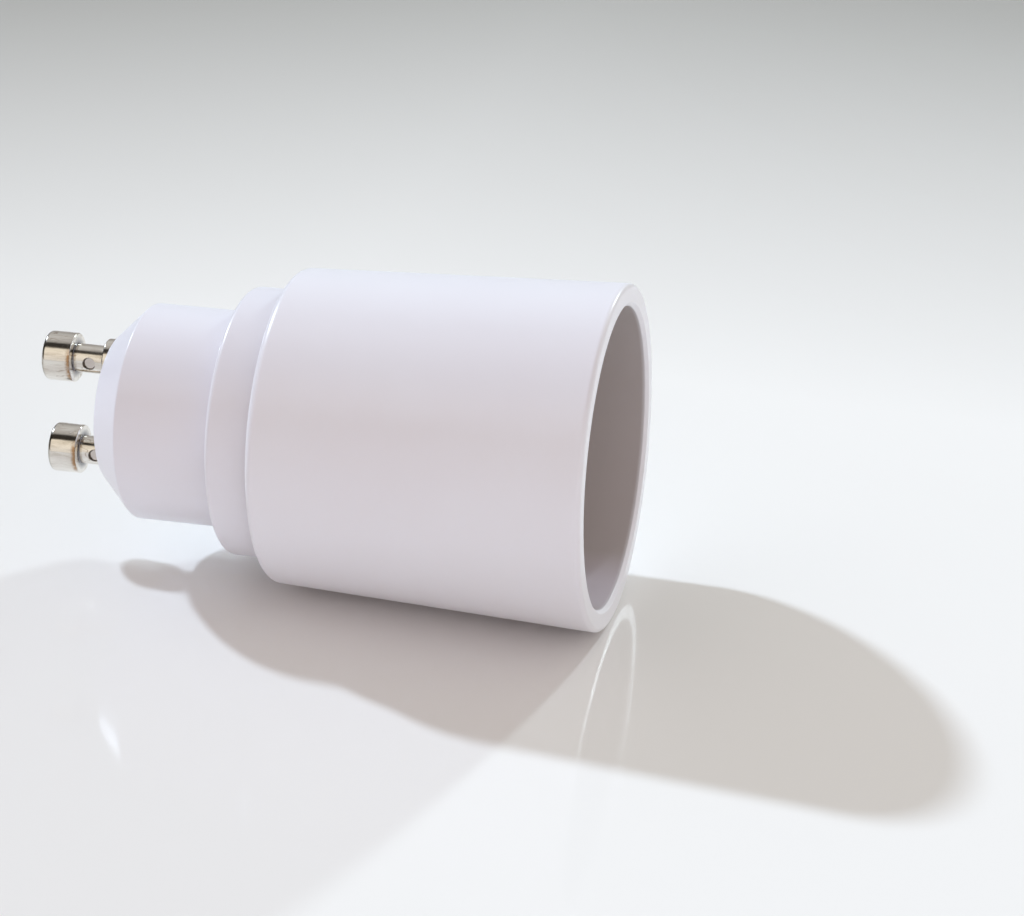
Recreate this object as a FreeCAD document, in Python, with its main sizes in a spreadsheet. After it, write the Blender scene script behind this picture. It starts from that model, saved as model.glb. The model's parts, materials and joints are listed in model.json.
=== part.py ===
import FreeCAD, Part
import math
import os
import Sketcher

# Lamp socket adapter: two round pins on one end, a screw socket with a sprung centre contact in the other.
# It stands on its mouth: the rim lies in the plane Z = 0, the lamp goes in from below and the pins point
# up along +Z. The barrel is sized from the lamp thread outwards, and the base from the pins outwards.

sizes = {
    # barrel, outwards from the lamp thread
    "threadDiameter": 26.7,
    "threadDepth": 1.1,
    "shellAir": 0.5,
    "skirtStep": 0.5,
    "skirtDepth": 6.6,
    "mouthWall": 2.2,
    "mouthEdgeRound": 0.5,
    "mouthInnerChamfer": 0.35,
    "barrelTaper": 1.35,
    "barrelLength": 32.7,
    "shoulderRound": 0.9,
    "shoulderThickness": 2.0,
    "keyRibWidth": 2.0,
    "keyRibHeight": 1.0,
    "keyRibRoot": 0.5,
    # base, outwards from the pins: end wall, bevel, cylinder and collar
    "pinSpacing": 10.0,
    "bevelWidth": 3.3,
    "bevelHeight": 3.3,
    "baseLength": 10.0,
    "baseEdgeRound": 0.3,
    "baseWall": 1.6,
    "endWall": 2.3,
    "collarStep": 2.55,
    "collarLength": 4.7,
    "collarRound": 0.5,
    "collarWall": 2.5,
    "spigotStep": 1.2,
    "spigotLength": 1.3,
    "spigotClearance": 0.1,
    "barrierThickness": 1.2,
    "barrierLength": 9.6,
    "barrierRoot": 0.2,
    # screws that clamp the barrel's shoulder between carrier and base, and their bosses in the base
    "screwInset": 4.3,
    "screwShank": 2.4,
    "screwLength": 13.0,
    "screwHeadDiameter": 5.0,
    "screwHeadHeight": 1.6,
    "screwHeadBevel": 0.8,
    "screwHoleClearance": 0.3,
    "pilotClearance": 0.05,
    "recessWidth": 0.7,
    "recessSpan": 2.8,
    "recessDepth": 0.9,
    "bossDiameter": 4.6,
    "bossGap": 0.2,
    "bossFloor": 1.5,
    # carrier disc
    "carrierThickness": 2.8,
    "carrierClearance": 0.1,
    "carrierChamfer": 0.3,
    # screw shell, drawn from sheet
    "shellThickness": 0.35,
    "shellMouthGap": 0.6,
    "shellFlare": 1.4,
    "shellBend": 0.2,
    "shellFootStep": 0.35,
    "shellFootLength": 4.3,
    "flangeWidth": 1.2,
    "earRadius": 2.4,
    # rivets
    "rivetInset": 4.2,
    "rivetAngle": 45.0,
    "rivetShank": 2.0,
    "rivetHead": 3.0,
    "rivetHeadHeight": 0.5,
    "rivetRound": 0.25,
    "rivetDimple": 1.0,
    "rivetDimpleDepth": 0.25,
    "rivetClearance": 0.02,
    # centre contact leaf and its button
    "leafThickness": 0.4,
    "leafWidth": 5.0,
    "leafInset": 1.5,
    "leafRivetMargin": 2.0,
    "leafFootLength": 3.9,
    "leafTipLength": 4.8,
    "leafRise": 2.6,
    "leafBend": 0.5,
    "leafCorner": 1.6,
    "buttonHead": 3.8,
    "buttonHeight": 0.8,
    "buttonRound": 0.55,
    "buttonShank": 1.8,
    "buttonUpset": 2.8,
    "buttonUpsetHeight": 0.4,
    "buttonUpsetRound": 0.2,
    "buttonClearance": 0.03,
    # solder tags behind the carrier
    "tagThickness": 0.5,
    "tagWidth": 3.8,
    "tagReach": 3.2,
    "tagHeight": 3.6,
    "tagLugWidth": 3.3,
    "tagBend": 0.4,
    # pins and the sprung washers that hold them
    "pinHeadDiameter": 4.9,
    "pinHeadLength": 2.95,
    "pinHeadRound": 0.35,
    "pinHeadInnerRound": 0.12,
    "pinShankDiameter": 2.86,
    "pinShankLength": 3.55,
    "pinCollarDiameter": 4.4,
    "pinCollarHeight": 0.65,
    "pinBodyDiameter": 3.0,
    "pinTailLength": 1.8,
    "pinBore": 1.7,
    "pinTipWall": 2.2,
    "pinHoleClearance": 0.05,
    "dimpleDiameter": 1.2,
    "dimpleDepth": 0.3,
    "dimpleHeight": 1.85,
    "washerGap": 0.1,
    "washerRim": 0.4,
    "washerThickness": 0.35,
    "washerDish": 0.3,
    "washerSlot": 0.4,
    "washerGrip": 0.02,
    # leads
    "wireDiameter": 1.2,
    "insulationDiameter": 2.0,
    "insulationClearance": 0.03,
    "wireEndGap": 0.3,
    "leadSlack": 2.4,
    "leadDrop": 3.0,
    "leadRiseShell": 8.0,
    "leadRiseLeaf": 7.0,
    "leadBendShare": 0.45,
    "leadBendReach": 2.6,
    "solderSize": 1.9,
}

doc = FreeCAD.newDocument("LampSocketAdapter")
sheet = doc.addObject("Spreadsheet::Sheet", "Sizes")
for row, (alias, number) in enumerate(sizes.items(), start=1):
    sheet.set(f"A{row}", alias)
    sheet.set(f"B{row}", str(number))
    sheet.setAlias(f"B{row}", alias)
doc.recompute()

# Diameters that follow from the lamp thread
threadMinor = "(Sizes.threadDiameter - 2 * Sizes.threadDepth)"
coreBore = "(Sizes.threadDiameter + 2 * (Sizes.shellThickness + Sizes.shellAir))"
skirtBore = f"({coreBore} + 2 * Sizes.skirtStep)"
mouthDiameter = f"({skirtBore} + 2 * Sizes.mouthWall)"
barrelRear = f"({mouthDiameter} - 2 * Sizes.barrelTaper)"
shellFoot = f"({threadMinor} + 2 * Sizes.shellFootStep)"
flangeInner = f"({shellFoot} - 2 * Sizes.flangeWidth)"
screwRadius = f"({shellFoot} / 2 - Sizes.screwInset)"
rivetRadius = f"({shellFoot} / 2 - Sizes.rivetInset)"
leafHeel = f"({flangeInner} / 2 - Sizes.leafInset)"
leafRivetRadius = f"({leafHeel} - Sizes.leafRivetMargin)"

# Diameters that follow from the pins
endFaceDiameter = "(Sizes.pinSpacing + Sizes.pinHeadDiameter)"
baseDiameter = f"({endFaceDiameter} + 2 * Sizes.bevelWidth)"
collarDiameter = f"({baseDiameter} + 2 * Sizes.collarStep)"
collarCavity = f"({collarDiameter} - 2 * Sizes.collarWall)"
spigotDiameter = f"({collarDiameter} - 2 * Sizes.spigotStep)"
bevelSlope = "(Sizes.bevelWidth / Sizes.bevelHeight)"
bevelSkin = f"(Sizes.baseWall * sqrt(1 + {bevelSlope} ^ 2))"
wallRadius = f"({baseDiameter} / 2 - Sizes.baseWall)"
endWallRadius = f"({baseDiameter} / 2 - {bevelSkin} - {bevelSlope} * (Sizes.bevelHeight - Sizes.endWall))"
washerRadius = f"({endWallRadius} - Sizes.pinSpacing / 2 - Sizes.washerGap)"

# Heights along the axis, from the rim up
carrierBack = "(Sizes.barrelLength - Sizes.shoulderThickness)"
carrierFace = f"({carrierBack} - Sizes.carrierThickness)"
shellMouth = "(Sizes.skirtDepth + Sizes.shellMouthGap)"
collarTop = "(Sizes.barrelLength + Sizes.collarLength)"
bevelFoot = f"({collarTop} + Sizes.baseLength)"
endFace = f"({bevelFoot} + Sizes.bevelHeight)"
endWallInside = f"({endFace} - Sizes.endWall)"
spigotEnd = "(Sizes.barrelLength - Sizes.spigotLength)"
bossEnd = f"({carrierBack} + Sizes.bossGap)"
tagTop = f"({carrierBack} + Sizes.tagThickness)"
leafTipBack = f"({carrierFace} - Sizes.leafRise)"
leafTipFront = f"({leafTipBack} - Sizes.leafThickness)"
pinTail = f"({endWallInside} - Sizes.pinTailLength)"


def number(expression):
    return float(sheet.evalExpression(expression))


def newBody(label):
    body = doc.addObject("PartDesign::Body", label.title().replace("_", ""))
    body.Label = label
    return body


def newSketch(body, name, role, offset=None):
    sketch = body.newObject("Sketcher::SketchObject", name)
    plane = next(f for f in body.Origin.OriginFeatures if f.Role == role)
    sketch.AttachmentSupport = [(plane, "")]
    sketch.MapMode = "FlatFace"
    if offset:
        sketch.setExpression("AttachmentOffset.Base.z", offset)
    return sketch


def tie(sketch, kind, expression, name, *where):
    """Adds one dimension to a sketch and binds it to the sheet."""
    index = sketch.addConstraint(Sketcher.Constraint(kind, *where, number(expression)))
    sketch.renameConstraint(index, name)
    sketch.setExpression(f"Constraints.{name}", expression)


def place(sketch, item, point, x, y, name):
    """Ties a point of a sketch to its distances from the origin."""
    for axis, kind, expression in ((-2, "DistanceX", x), (-1, "DistanceY", y)):
        if abs(number(expression)) < 1e-9:
            sketch.addConstraint(Sketcher.Constraint("PointOnObject", item, point, axis))
        else:
            tie(sketch, kind, expression, f"{name}{kind[-1]}", -1, 1, item, point)


def polygon(sketch, corners, name="corner"):
    """Draws a closed outline through corners given as pairs of expressions."""
    spots = [FreeCAD.Vector(number(x), number(y), 0) for x, y in corners]
    first = sketch.GeometryCount
    count = len(spots)
    for i in range(count):
        sketch.addGeometry(Part.LineSegment(spots[i], spots[(i + 1) % count]), False)
    for i in range(count):
        after = first + (i + 1) % count
        sketch.addConstraint(Sketcher.Constraint("Coincident", first + i, 2, after, 1))
    for i, (x, y) in enumerate(corners):
        place(sketch, first + i, 1, x, y, f"{name}{i}")


def circle(sketch, x, y, diameter, name="circle"):
    centre = FreeCAD.Vector(number(x), number(y), 0)
    item = sketch.addGeometry(Part.Circle(centre, FreeCAD.Vector(0, 0, 1), number(diameter) / 2), False)
    tie(sketch, "Diameter", diameter, f"{name}Diameter", item)
    place(sketch, item, 3, x, y, name)


def revolve(body, corners):
    """Turns an outline of (radius, height) corners about the body's Z axis."""
    sketch = newSketch(body, "Profile", "XZ_Plane")
    polygon(sketch, corners)
    turned = body.newObject("PartDesign::Revolution", "Turned")
    turned.Profile = sketch
    turned.ReferenceAxis = (sketch, ["V_Axis"])
    turned.Angle = 360
    doc.recompute()
    return turned


def pad(body, sketch, length, reverse=False):
    feature = body.newObject("PartDesign::Pad", "Pad")
    feature.Profile = sketch
    feature.setExpression("Length", length)
    feature.Reversed = reverse
    doc.recompute()
    return feature


def pocket(body, sketch, length, reverse=False):
    before = body.Shape.Volume
    feature = body.newObject("PartDesign::Pocket", "Pocket")
    feature.Profile = sketch
    feature.setExpression("Length", length)
    feature.Reversed = reverse
    doc.recompute()
    if body.Shape.Volume >= before - 1e-6:
        raise ValueError(f"a pocket in {body.Label} cuts nothing")
    return feature


def around(body, feature, sketch, count=2):
    """Repeats a feature evenly round the Z axis."""
    pattern = body.newObject("PartDesign::PolarPattern", "Pattern")
    pattern.Originals = [feature]
    pattern.Axis = (sketch, ["N_Axis"])
    pattern.Angle = 360
    pattern.Occurrences = count
    body.Tip = pattern
    doc.recompute()
    return pattern


def rings(body, *spots):
    """Names the round edges of a body at the given (radius, height) pairs."""
    named = []
    for index, edge in enumerate(body.Shape.Edges, start=1):
        curve = edge.Curve
        if not isinstance(curve, Part.Circle):
            continue
        for radius, height in spots:
            near = abs(curve.Radius - number(radius)) < 1e-4
            if near and abs(curve.Center.z - number(height)) < 1e-4:
                named.append(f"Edge{index}")
    if len(named) < len(spots):
        raise ValueError(f"an edge of {body.Label} wasn't found")
    return named


def dress(body, kind, expression, edges):
    """Rounds or chamfers named edges of the body's last feature."""
    last = body.Tip
    feature = body.newObject(f"PartDesign::{kind}", kind)
    feature.Base = (last, edges)
    feature.setExpression("Radius" if kind == "Fillet" else "Size", expression)
    doc.recompute()
    return feature


def moveTo(body, x, y, z, angle=None):
    for axis, expression in (("x", x), ("y", y), ("z", z)):
        if expression != "0":
            body.setExpression(f"Placement.Base.{axis}", expression)
    if angle:
        body.Placement.Rotation = FreeCAD.Rotation(FreeCAD.Vector(0, 0, 1), number(angle))
    doc.recompute()


def rectangle(sketch, left, right, low, high, name="corner"):
    polygon(sketch, [(left, low), (right, low), (right, high), (left, high)], name)


def lineEdges(body, *spots):
    """Names the straight edges that run through the given (axis, first, second) places."""
    named = []
    for index, edge in enumerate(body.Shape.Edges, start=1):
        if not isinstance(edge.Curve, Part.Line):
            continue
        a, b = edge.Vertexes[0].Point, edge.Vertexes[-1].Point
        for axis, first, second in spots:
            others = [k for k in range(3) if k != axis]
            wanted = (number(first), number(second))
            if all(abs(p[k] - w) < 1e-4 for p in (a, b) for k, w in zip(others, wanted)):
                named.append(f"Edge{index}")
    if len(named) < len(spots):
        raise ValueError(f"a straight edge of {body.Label} wasn't found")
    return named


def makeBarrel():
    body = newBody("barrel_housing")
    rearHole = f"{spigotDiameter} / 2 + Sizes.spigotClearance"
    revolve(body, [
        (f"{skirtBore} / 2", "0"),
        (f"{mouthDiameter} / 2", "0"),
        (f"{barrelRear} / 2", "Sizes.barrelLength"),
        (rearHole, "Sizes.barrelLength"),
        (rearHole, carrierBack),
        (f"{coreBore} / 2", carrierBack),
        (f"{coreBore} / 2", "Sizes.skirtDepth"),
        (f"{skirtBore} / 2", "Sizes.skirtDepth"),
    ])
    dress(body, "Fillet", "Sizes.shoulderRound", rings(
        body, (f"{barrelRear} / 2", "Sizes.barrelLength")))
    dress(body, "Fillet", "Sizes.mouthEdgeRound", rings(body, (f"{mouthDiameter} / 2", "0")))
    dress(body, "Chamfer", "Sizes.mouthInnerChamfer", rings(body, (f"{skirtBore} / 2", "0")))
    ribs = newSketch(body, "KeyRib", "XY_Plane", carrierFace)
    rectangle(ribs, f"{coreBore} / 2 - Sizes.keyRibHeight", f"{coreBore} / 2 + Sizes.keyRibRoot",
              "-Sizes.keyRibWidth / 2", "Sizes.keyRibWidth / 2")
    around(body, pad(body, ribs, "Sizes.carrierThickness"), ribs)


def makeBase():
    body = newBody("base_housing")
    ceiling = f"({collarTop} - Sizes.baseWall)"
    pilotDepth = "(Sizes.screwLength - Sizes.carrierThickness + Sizes.screwHoleClearance)"
    revolve(body, [
        ("0", endWallInside),
        (endWallRadius, endWallInside),
        (wallRadius, f"{bevelFoot} - ({bevelSkin} - Sizes.baseWall) / {bevelSlope}"),
        (wallRadius, ceiling),
        (f"{collarCavity} / 2", ceiling),
        (f"{collarCavity} / 2", spigotEnd),
        (f"{spigotDiameter} / 2", spigotEnd),
        (f"{spigotDiameter} / 2", "Sizes.barrelLength"),
        (f"{collarDiameter} / 2", "Sizes.barrelLength"),
        (f"{collarDiameter} / 2", collarTop),
        (f"{baseDiameter} / 2", collarTop),
        (f"{baseDiameter} / 2", bevelFoot),
        (f"{endFaceDiameter} / 2", endFace),
        ("0", endFace),
    ])
    dress(body, "Fillet", "Sizes.collarRound", rings(body, (f"{collarDiameter} / 2", collarTop)))
    dress(body, "Fillet", "Sizes.baseEdgeRound", rings(
        body, (f"{baseDiameter} / 2", bevelFoot), (f"{endFaceDiameter} / 2", endFace)))

    bosses = newSketch(body, "Bosses", "XY_Plane", bossEnd)
    circle(bosses, screwRadius, "0", "Sizes.bossDiameter")
    around(body, pad(body, bosses, f"{pilotDepth} + Sizes.bossFloor"), bosses)

    barrier = newSketch(body, "Barrier", "XY_Plane", f"{endWallInside} - Sizes.barrierLength")
    reach = f"({wallRadius} + Sizes.barrierRoot)"
    rectangle(barrier, f"-{reach}", reach, "-Sizes.barrierThickness / 2", "Sizes.barrierThickness / 2")
    pad(body, barrier, "Sizes.barrierLength")

    pilots = newSketch(body, "Pilots", "XY_Plane", bossEnd)
    circle(pilots, screwRadius, "0", "Sizes.screwShank + 2 * Sizes.pilotClearance", "near")
    circle(pilots, f"-{screwRadius}", "0", "Sizes.screwShank + 2 * Sizes.pilotClearance", "far")
    pocket(body, pilots, pilotDepth, reverse=True)

    holes = newSketch(body, "PinHoles", "XY_Plane", endFace)
    across = "Sizes.pinBodyDiameter + 2 * Sizes.pinHoleClearance"
    circle(holes, "0", "Sizes.pinSpacing / 2", across, "near")
    circle(holes, "0", "-Sizes.pinSpacing / 2", across, "far")
    pocket(body, holes, "Sizes.endWall")


rivetX = f"({rivetRadius} * cos(Sizes.rivetAngle))"
rivetY = f"({rivetRadius} * sin(Sizes.rivetAngle))"
rivetHole = "Sizes.rivetShank + 2 * Sizes.rivetClearance"


def makeCarrier():
    body = newBody("contact_carrier")
    disc = newSketch(body, "Disc", "XY_Plane", carrierFace)
    circle(disc, "0", "0", f"{coreBore} - 2 * Sizes.carrierClearance")
    pad(body, disc, "Sizes.carrierThickness")
    dress(body, "Chamfer", "Sizes.carrierChamfer", rings(
        body, (f"{coreBore} / 2 - Sizes.carrierClearance", carrierFace)))

    notch = newSketch(body, "KeyNotch", "XY_Plane", carrierBack)
    half = "(Sizes.keyRibWidth / 2 + Sizes.carrierClearance)"
    rectangle(notch, f"{coreBore} / 2 - Sizes.keyRibHeight - Sizes.carrierClearance",
              f"{coreBore} / 2 + Sizes.carrierClearance", f"-{half}", half)
    around(body, pocket(body, notch, "Sizes.carrierThickness"), notch)

    holes = newSketch(body, "Holes", "XY_Plane", carrierBack)
    screwHole = "Sizes.screwShank + 2 * Sizes.screwHoleClearance"
    circle(holes, screwRadius, "0", screwHole, "screwNear")
    circle(holes, f"-{screwRadius}", "0", screwHole, "screwFar")
    circle(holes, rivetX, rivetY, rivetHole, "rivetNear")
    circle(holes, f"-{rivetX}", f"-{rivetY}", rivetHole, "rivetFar")
    circle(holes, "0", f"-{leafRivetRadius}", rivetHole, "leafRivet")
    pocket(body, holes, "Sizes.carrierThickness")


def makeShell():
    """The screw shell, drawn from sheet: plain where its thread is, flared at the mouth, flanged at the foot."""
    body = newBody("screw_shell")
    inside = f"({threadMinor} / 2)"
    outside = f"({inside} + Sizes.shellThickness)"
    footInside = f"({shellFoot} / 2)"
    footOutside = f"({footInside} + Sizes.shellThickness)"
    footStart = f"({carrierFace} - Sizes.shellFootLength)"
    footEnd = f"({footStart} + {footInside} - {inside})"
    flange = f"({carrierFace} - Sizes.shellThickness)"
    flareEnd = f"({shellMouth} + Sizes.shellFlare)"
    revolve(body, [
        ("Sizes.threadDiameter / 2", shellMouth),
        ("Sizes.threadDiameter / 2 + Sizes.shellThickness", shellMouth),
        (outside, flareEnd),
        (outside, footStart),
        (footOutside, footEnd),
        (footOutside, carrierFace),
        (f"{flangeInner} / 2", carrierFace),
        (f"{flangeInner} / 2", flange),
        (footInside, flange),
        (footInside, footEnd),
        (inside, footStart),
        (inside, flareEnd),
    ])
    dress(body, "Fillet", "Sizes.shellBend + Sizes.shellThickness", rings(body, (footOutside, carrierFace)))
    dress(body, "Fillet", "Sizes.shellBend", rings(body, (footInside, flange)))

    ear = newSketch(body, "Ear", "XY_Plane", flange)
    circle(ear, rivetRadius, "0", "2 * Sizes.earRadius")
    around(body, pad(body, ear, "Sizes.shellThickness"), ear)
    neck = newSketch(body, "Neck", "XY_Plane", flange)
    rectangle(neck, rivetRadius, f"{flangeInner} / 2 + Sizes.shellThickness",
              "-Sizes.earRadius", "Sizes.earRadius")
    around(body, pad(body, neck, "Sizes.shellThickness"), neck)
    holes = newSketch(body, "Holes", "XY_Plane", carrierFace)
    circle(holes, rivetRadius, "0", rivetHole, "near")
    circle(holes, f"-{rivetRadius}", "0", rivetHole, "far")
    pocket(body, holes, "Sizes.shellThickness")
    moveTo(body, "0", "0", "0", "Sizes.rivetAngle")


def makeLeaf():
    body = newBody("contact_leaf")
    side = newSketch(body, "Side", "YZ_Plane")
    tip = "(Sizes.leafTipLength / 2)"
    bend = f"(Sizes.leafFootLength - {leafHeel})"
    heel = f"-{leafHeel}"
    mitre = f"(Sizes.leafThickness * tan(atan(Sizes.leafRise / (-{tip} - {bend})) / 2))"
    footFront = f"({carrierFace} - Sizes.leafThickness)"
    polygon(side, [
        (heel, carrierFace),
        (heel, footFront),
        (f"{bend} - {mitre}", footFront),
        (f"-{tip} - {mitre}", leafTipFront),
        (tip, leafTipFront),
        (tip, leafTipBack),
        (f"-{tip}", leafTipBack),
        (bend, carrierFace),
    ])
    strip = body.newObject("PartDesign::Pad", "Strip")
    strip.Profile = side
    strip.SideType = "Symmetric"
    strip.setExpression("Length", "Sizes.leafWidth")
    doc.recompute()
    dress(body, "Fillet", "Sizes.leafBend + Sizes.leafThickness", lineEdges(
        body, (0, bend, carrierFace), (0, f"-{tip} - {mitre}", leafTipFront)))
    dress(body, "Fillet", "Sizes.leafBend", lineEdges(
        body, (0, f"{bend} - {mitre}", footFront), (0, f"-{tip}", leafTipBack)))
    dress(body, "Fillet", "Sizes.leafCorner", lineEdges(
        body, (2, "Sizes.leafWidth / 2", tip), (2, "-Sizes.leafWidth / 2", tip)))

    holes = newSketch(body, "Holes", "XY_Plane", carrierFace)
    circle(holes, "0", "0", "Sizes.buttonShank + 2 * Sizes.buttonClearance", "button")
    circle(holes, "0", f"-{leafRivetRadius}", rivetHole, "rivet")
    pocket(body, holes, "Sizes.leafRise + Sizes.leafThickness")


def makeButton():
    body = newBody("contact_button")
    face = f"({leafTipFront} - Sizes.buttonHeight)"
    back = f"({leafTipBack} + Sizes.buttonUpsetHeight)"
    revolve(body, [
        ("0", face),
        ("Sizes.buttonHead / 2", face),
        ("Sizes.buttonHead / 2", leafTipFront),
        ("Sizes.buttonShank / 2", leafTipFront),
        ("Sizes.buttonShank / 2", leafTipBack),
        ("Sizes.buttonUpset / 2", leafTipBack),
        ("Sizes.buttonUpset / 2", back),
        ("0", back),
    ])
    dress(body, "Fillet", "Sizes.buttonRound", rings(body, ("Sizes.buttonHead / 2", face)))
    dress(body, "Fillet", "Sizes.buttonUpsetRound", rings(body, ("Sizes.buttonUpset / 2", back)))


def makeRivet(label, x, y, under, over):
    """A rivet: its factory head ends at the height under, and its upset head starts at the height over."""
    body = newBody(label)
    face = f"({under} - Sizes.rivetHeadHeight)"
    back = f"({over} + Sizes.rivetHeadHeight)"
    revolve(body, [
        ("0", f"{face} + Sizes.rivetDimpleDepth"),
        ("Sizes.rivetDimple / 2", face),
        ("Sizes.rivetHead / 2", face),
        ("Sizes.rivetHead / 2", under),
        ("Sizes.rivetShank / 2", under),
        ("Sizes.rivetShank / 2", over),
        ("Sizes.rivetHead / 2", over),
        ("Sizes.rivetHead / 2", back),
        ("0", back),
    ])
    dress(body, "Fillet", "Sizes.rivetRound", rings(
        body, ("Sizes.rivetHead / 2", face), ("Sizes.rivetHead / 2", back)))
    moveTo(body, x, y, "0")


def makeTag(label, x, y, angle):
    """A solder tag: a round foot under a rivet and a lug that stands up towards the pins."""
    body = newBody(label)
    foot = newSketch(body, "Foot", "XY_Plane", carrierBack)
    circle(foot, "0", "0", "Sizes.tagWidth")
    pad(body, foot, "Sizes.tagThickness")
    sole = newSketch(body, "Sole", "XY_Plane", carrierBack)
    half = "Sizes.tagLugWidth / 2"
    rectangle(sole, "0", "Sizes.tagReach", f"-{half}", half)
    pad(body, sole, "Sizes.tagThickness")
    lug = newSketch(body, "Lug", "XY_Plane", carrierBack)
    rectangle(lug, "Sizes.tagReach - Sizes.tagThickness", "Sizes.tagReach", f"-{half}", half)
    pad(body, lug, "Sizes.tagHeight")
    dress(body, "Fillet", "Sizes.tagBend", lineEdges(body, (1, "Sizes.tagReach", carrierBack)))
    hole = newSketch(body, "Hole", "XY_Plane", tagTop)
    circle(hole, "0", "0", rivetHole)
    pocket(body, hole, "Sizes.tagThickness")
    moveTo(body, x, y, "0", angle)
    return body


def makeScrew(label, x):
    body = newBody(label)
    top = f"({carrierFace} - Sizes.screwHeadHeight)"
    tip = f"({carrierFace} + Sizes.screwLength)"
    revolve(body, [
        ("0", top),
        ("Sizes.screwHeadDiameter / 2 - Sizes.screwHeadBevel", top),
        ("Sizes.screwHeadDiameter / 2", f"{top} + Sizes.screwHeadBevel"),
        ("Sizes.screwHeadDiameter / 2", carrierFace),
        ("Sizes.screwShank / 2", carrierFace),
        ("Sizes.screwShank / 2", f"{tip} - Sizes.screwShank"),
        ("0", tip),
    ])
    cross = newSketch(body, "Cross", "XY_Plane", top)
    long, short = "Sizes.recessSpan / 2", "Sizes.recessWidth / 2"
    polygon(cross, [
        (long, f"-{short}"), (long, short), (short, short), (short, long),
        (f"-{short}", long), (f"-{short}", short), (f"-{long}", short), (f"-{long}", f"-{short}"),
        (f"-{short}", f"-{short}"), (f"-{short}", f"-{long}"), (short, f"-{long}"), (short, f"-{short}"),
    ])
    pocket(body, cross, "Sizes.recessDepth", reverse=True)
    moveTo(body, x, "0", "0")


collarFace = f"({endFace} + Sizes.pinCollarHeight)"
headInside = f"({collarFace} + Sizes.pinShankLength)"
headEnd = f"({headInside} + Sizes.pinHeadLength)"
boreEnd = f"({headEnd} - Sizes.pinTipWall)"


def makePin(label, y):
    """A turned hollow pin, closed at its head. A lead is crimped in it by a round punch mark on the shank."""
    body = newBody(label)
    revolve(body, [
        ("Sizes.pinBore / 2", pinTail),
        ("Sizes.pinBodyDiameter / 2", pinTail),
        ("Sizes.pinBodyDiameter / 2", endFace),
        ("Sizes.pinCollarDiameter / 2", endFace),
        ("Sizes.pinCollarDiameter / 2", collarFace),
        ("Sizes.pinShankDiameter / 2", collarFace),
        ("Sizes.pinShankDiameter / 2", headInside),
        ("Sizes.pinHeadDiameter / 2", headInside),
        ("Sizes.pinHeadDiameter / 2", headEnd),
        ("0", headEnd),
        ("0", boreEnd),
        ("Sizes.pinBore / 2", boreEnd),
    ])
    dress(body, "Fillet", "Sizes.pinHeadRound", rings(body, ("Sizes.pinHeadDiameter / 2", headEnd)))
    dress(body, "Fillet", "Sizes.pinHeadInnerRound", rings(body, ("Sizes.pinHeadDiameter / 2", headInside)))
    punch = newSketch(body, "Punch", "YZ_Plane", "-Sizes.pinShankDiameter / 2")
    circle(punch, "0", f"{collarFace} + Sizes.dimpleHeight", "Sizes.dimpleDiameter")
    pocket(body, punch, "Sizes.dimpleDepth", reverse=True)
    moveTo(body, "0", y, "0")


def makeWasher(label, y):
    """A push-on ring with sprung teeth that holds a pin's tail against the end wall."""
    body = newBody(label)
    grip = "(Sizes.pinBodyDiameter / 2 + Sizes.washerGrip)"
    flat = f"({washerRadius} - Sizes.washerRim)"
    low = f"({endWallInside} - Sizes.washerThickness)"
    revolve(body, [
        (grip, f"{low} - Sizes.washerDish"),
        (flat, low),
        (washerRadius, low),
        (washerRadius, endWallInside),
        (flat, endWallInside),
        (grip, f"{endWallInside} - Sizes.washerDish"),
    ])
    slot = newSketch(body, "Slot", "XY_Plane", endWallInside)
    rectangle(slot, "Sizes.pinBore / 2", flat,
              "-Sizes.washerSlot / 2", "Sizes.washerSlot / 2")
    around(body, pocket(body, slot, "Sizes.washerThickness + Sizes.washerDish"), slot, 6)
    moveTo(body, "0", y, "0")


def route(points, startTrim=0.0, endTrim=0.0):
    """Straight runs joined by tangent arcs, each as large as its runs allow and its reach from the corner."""
    edges = []
    cursor = points[0] + (points[1] - points[0]).normalize() * startTrim
    for before, corner, after in zip(points, points[1:], points[2:]):
        inward, outward = (corner - before), (after - corner)
        reach = min(sizes["leadBendReach"], sizes["leadBendShare"] * min(inward.Length, outward.Length))
        half = inward.getAngle(outward) / 2
        inward.normalize()
        outward.normalize()
        radius = reach / math.tan(half)
        bisector = (outward - inward).normalize()
        start, end = corner - inward * reach, corner + outward * reach
        middle = corner + bisector * (radius / math.cos(half) - radius)
        edges.append(Part.LineSegment(cursor, start).toShape())
        edges.append(Part.Arc(start, middle, end).toShape())
        cursor = end
    last = points[-1] - (points[-1] - points[-2]).normalize() * endTrim
    edges.append(Part.LineSegment(cursor, last).toShape())
    return Part.Wire(edges)


def sweep(path, radius):
    """A round cord along a path."""
    start = path.Vertexes[0].Point
    ahead = path.Edges[0].tangentAt(path.Edges[0].FirstParameter)
    disc = Part.Face(Part.Wire(Part.makeCircle(radius, start, ahead)))
    solid = path.makePipe(disc)
    expected = disc.Area * path.Length
    if abs(solid.Volume / expected - 1) > 0.01:
        raise ValueError(f"a lead's volume is {solid.Volume:.2f}, and section times length {expected:.2f}")
    return solid


def makeFeature(label, shape):
    feature = doc.addObject("Part::Feature", label.title().replace("_", ""))
    feature.Label = label
    feature.Shape = shape
    return feature


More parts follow.
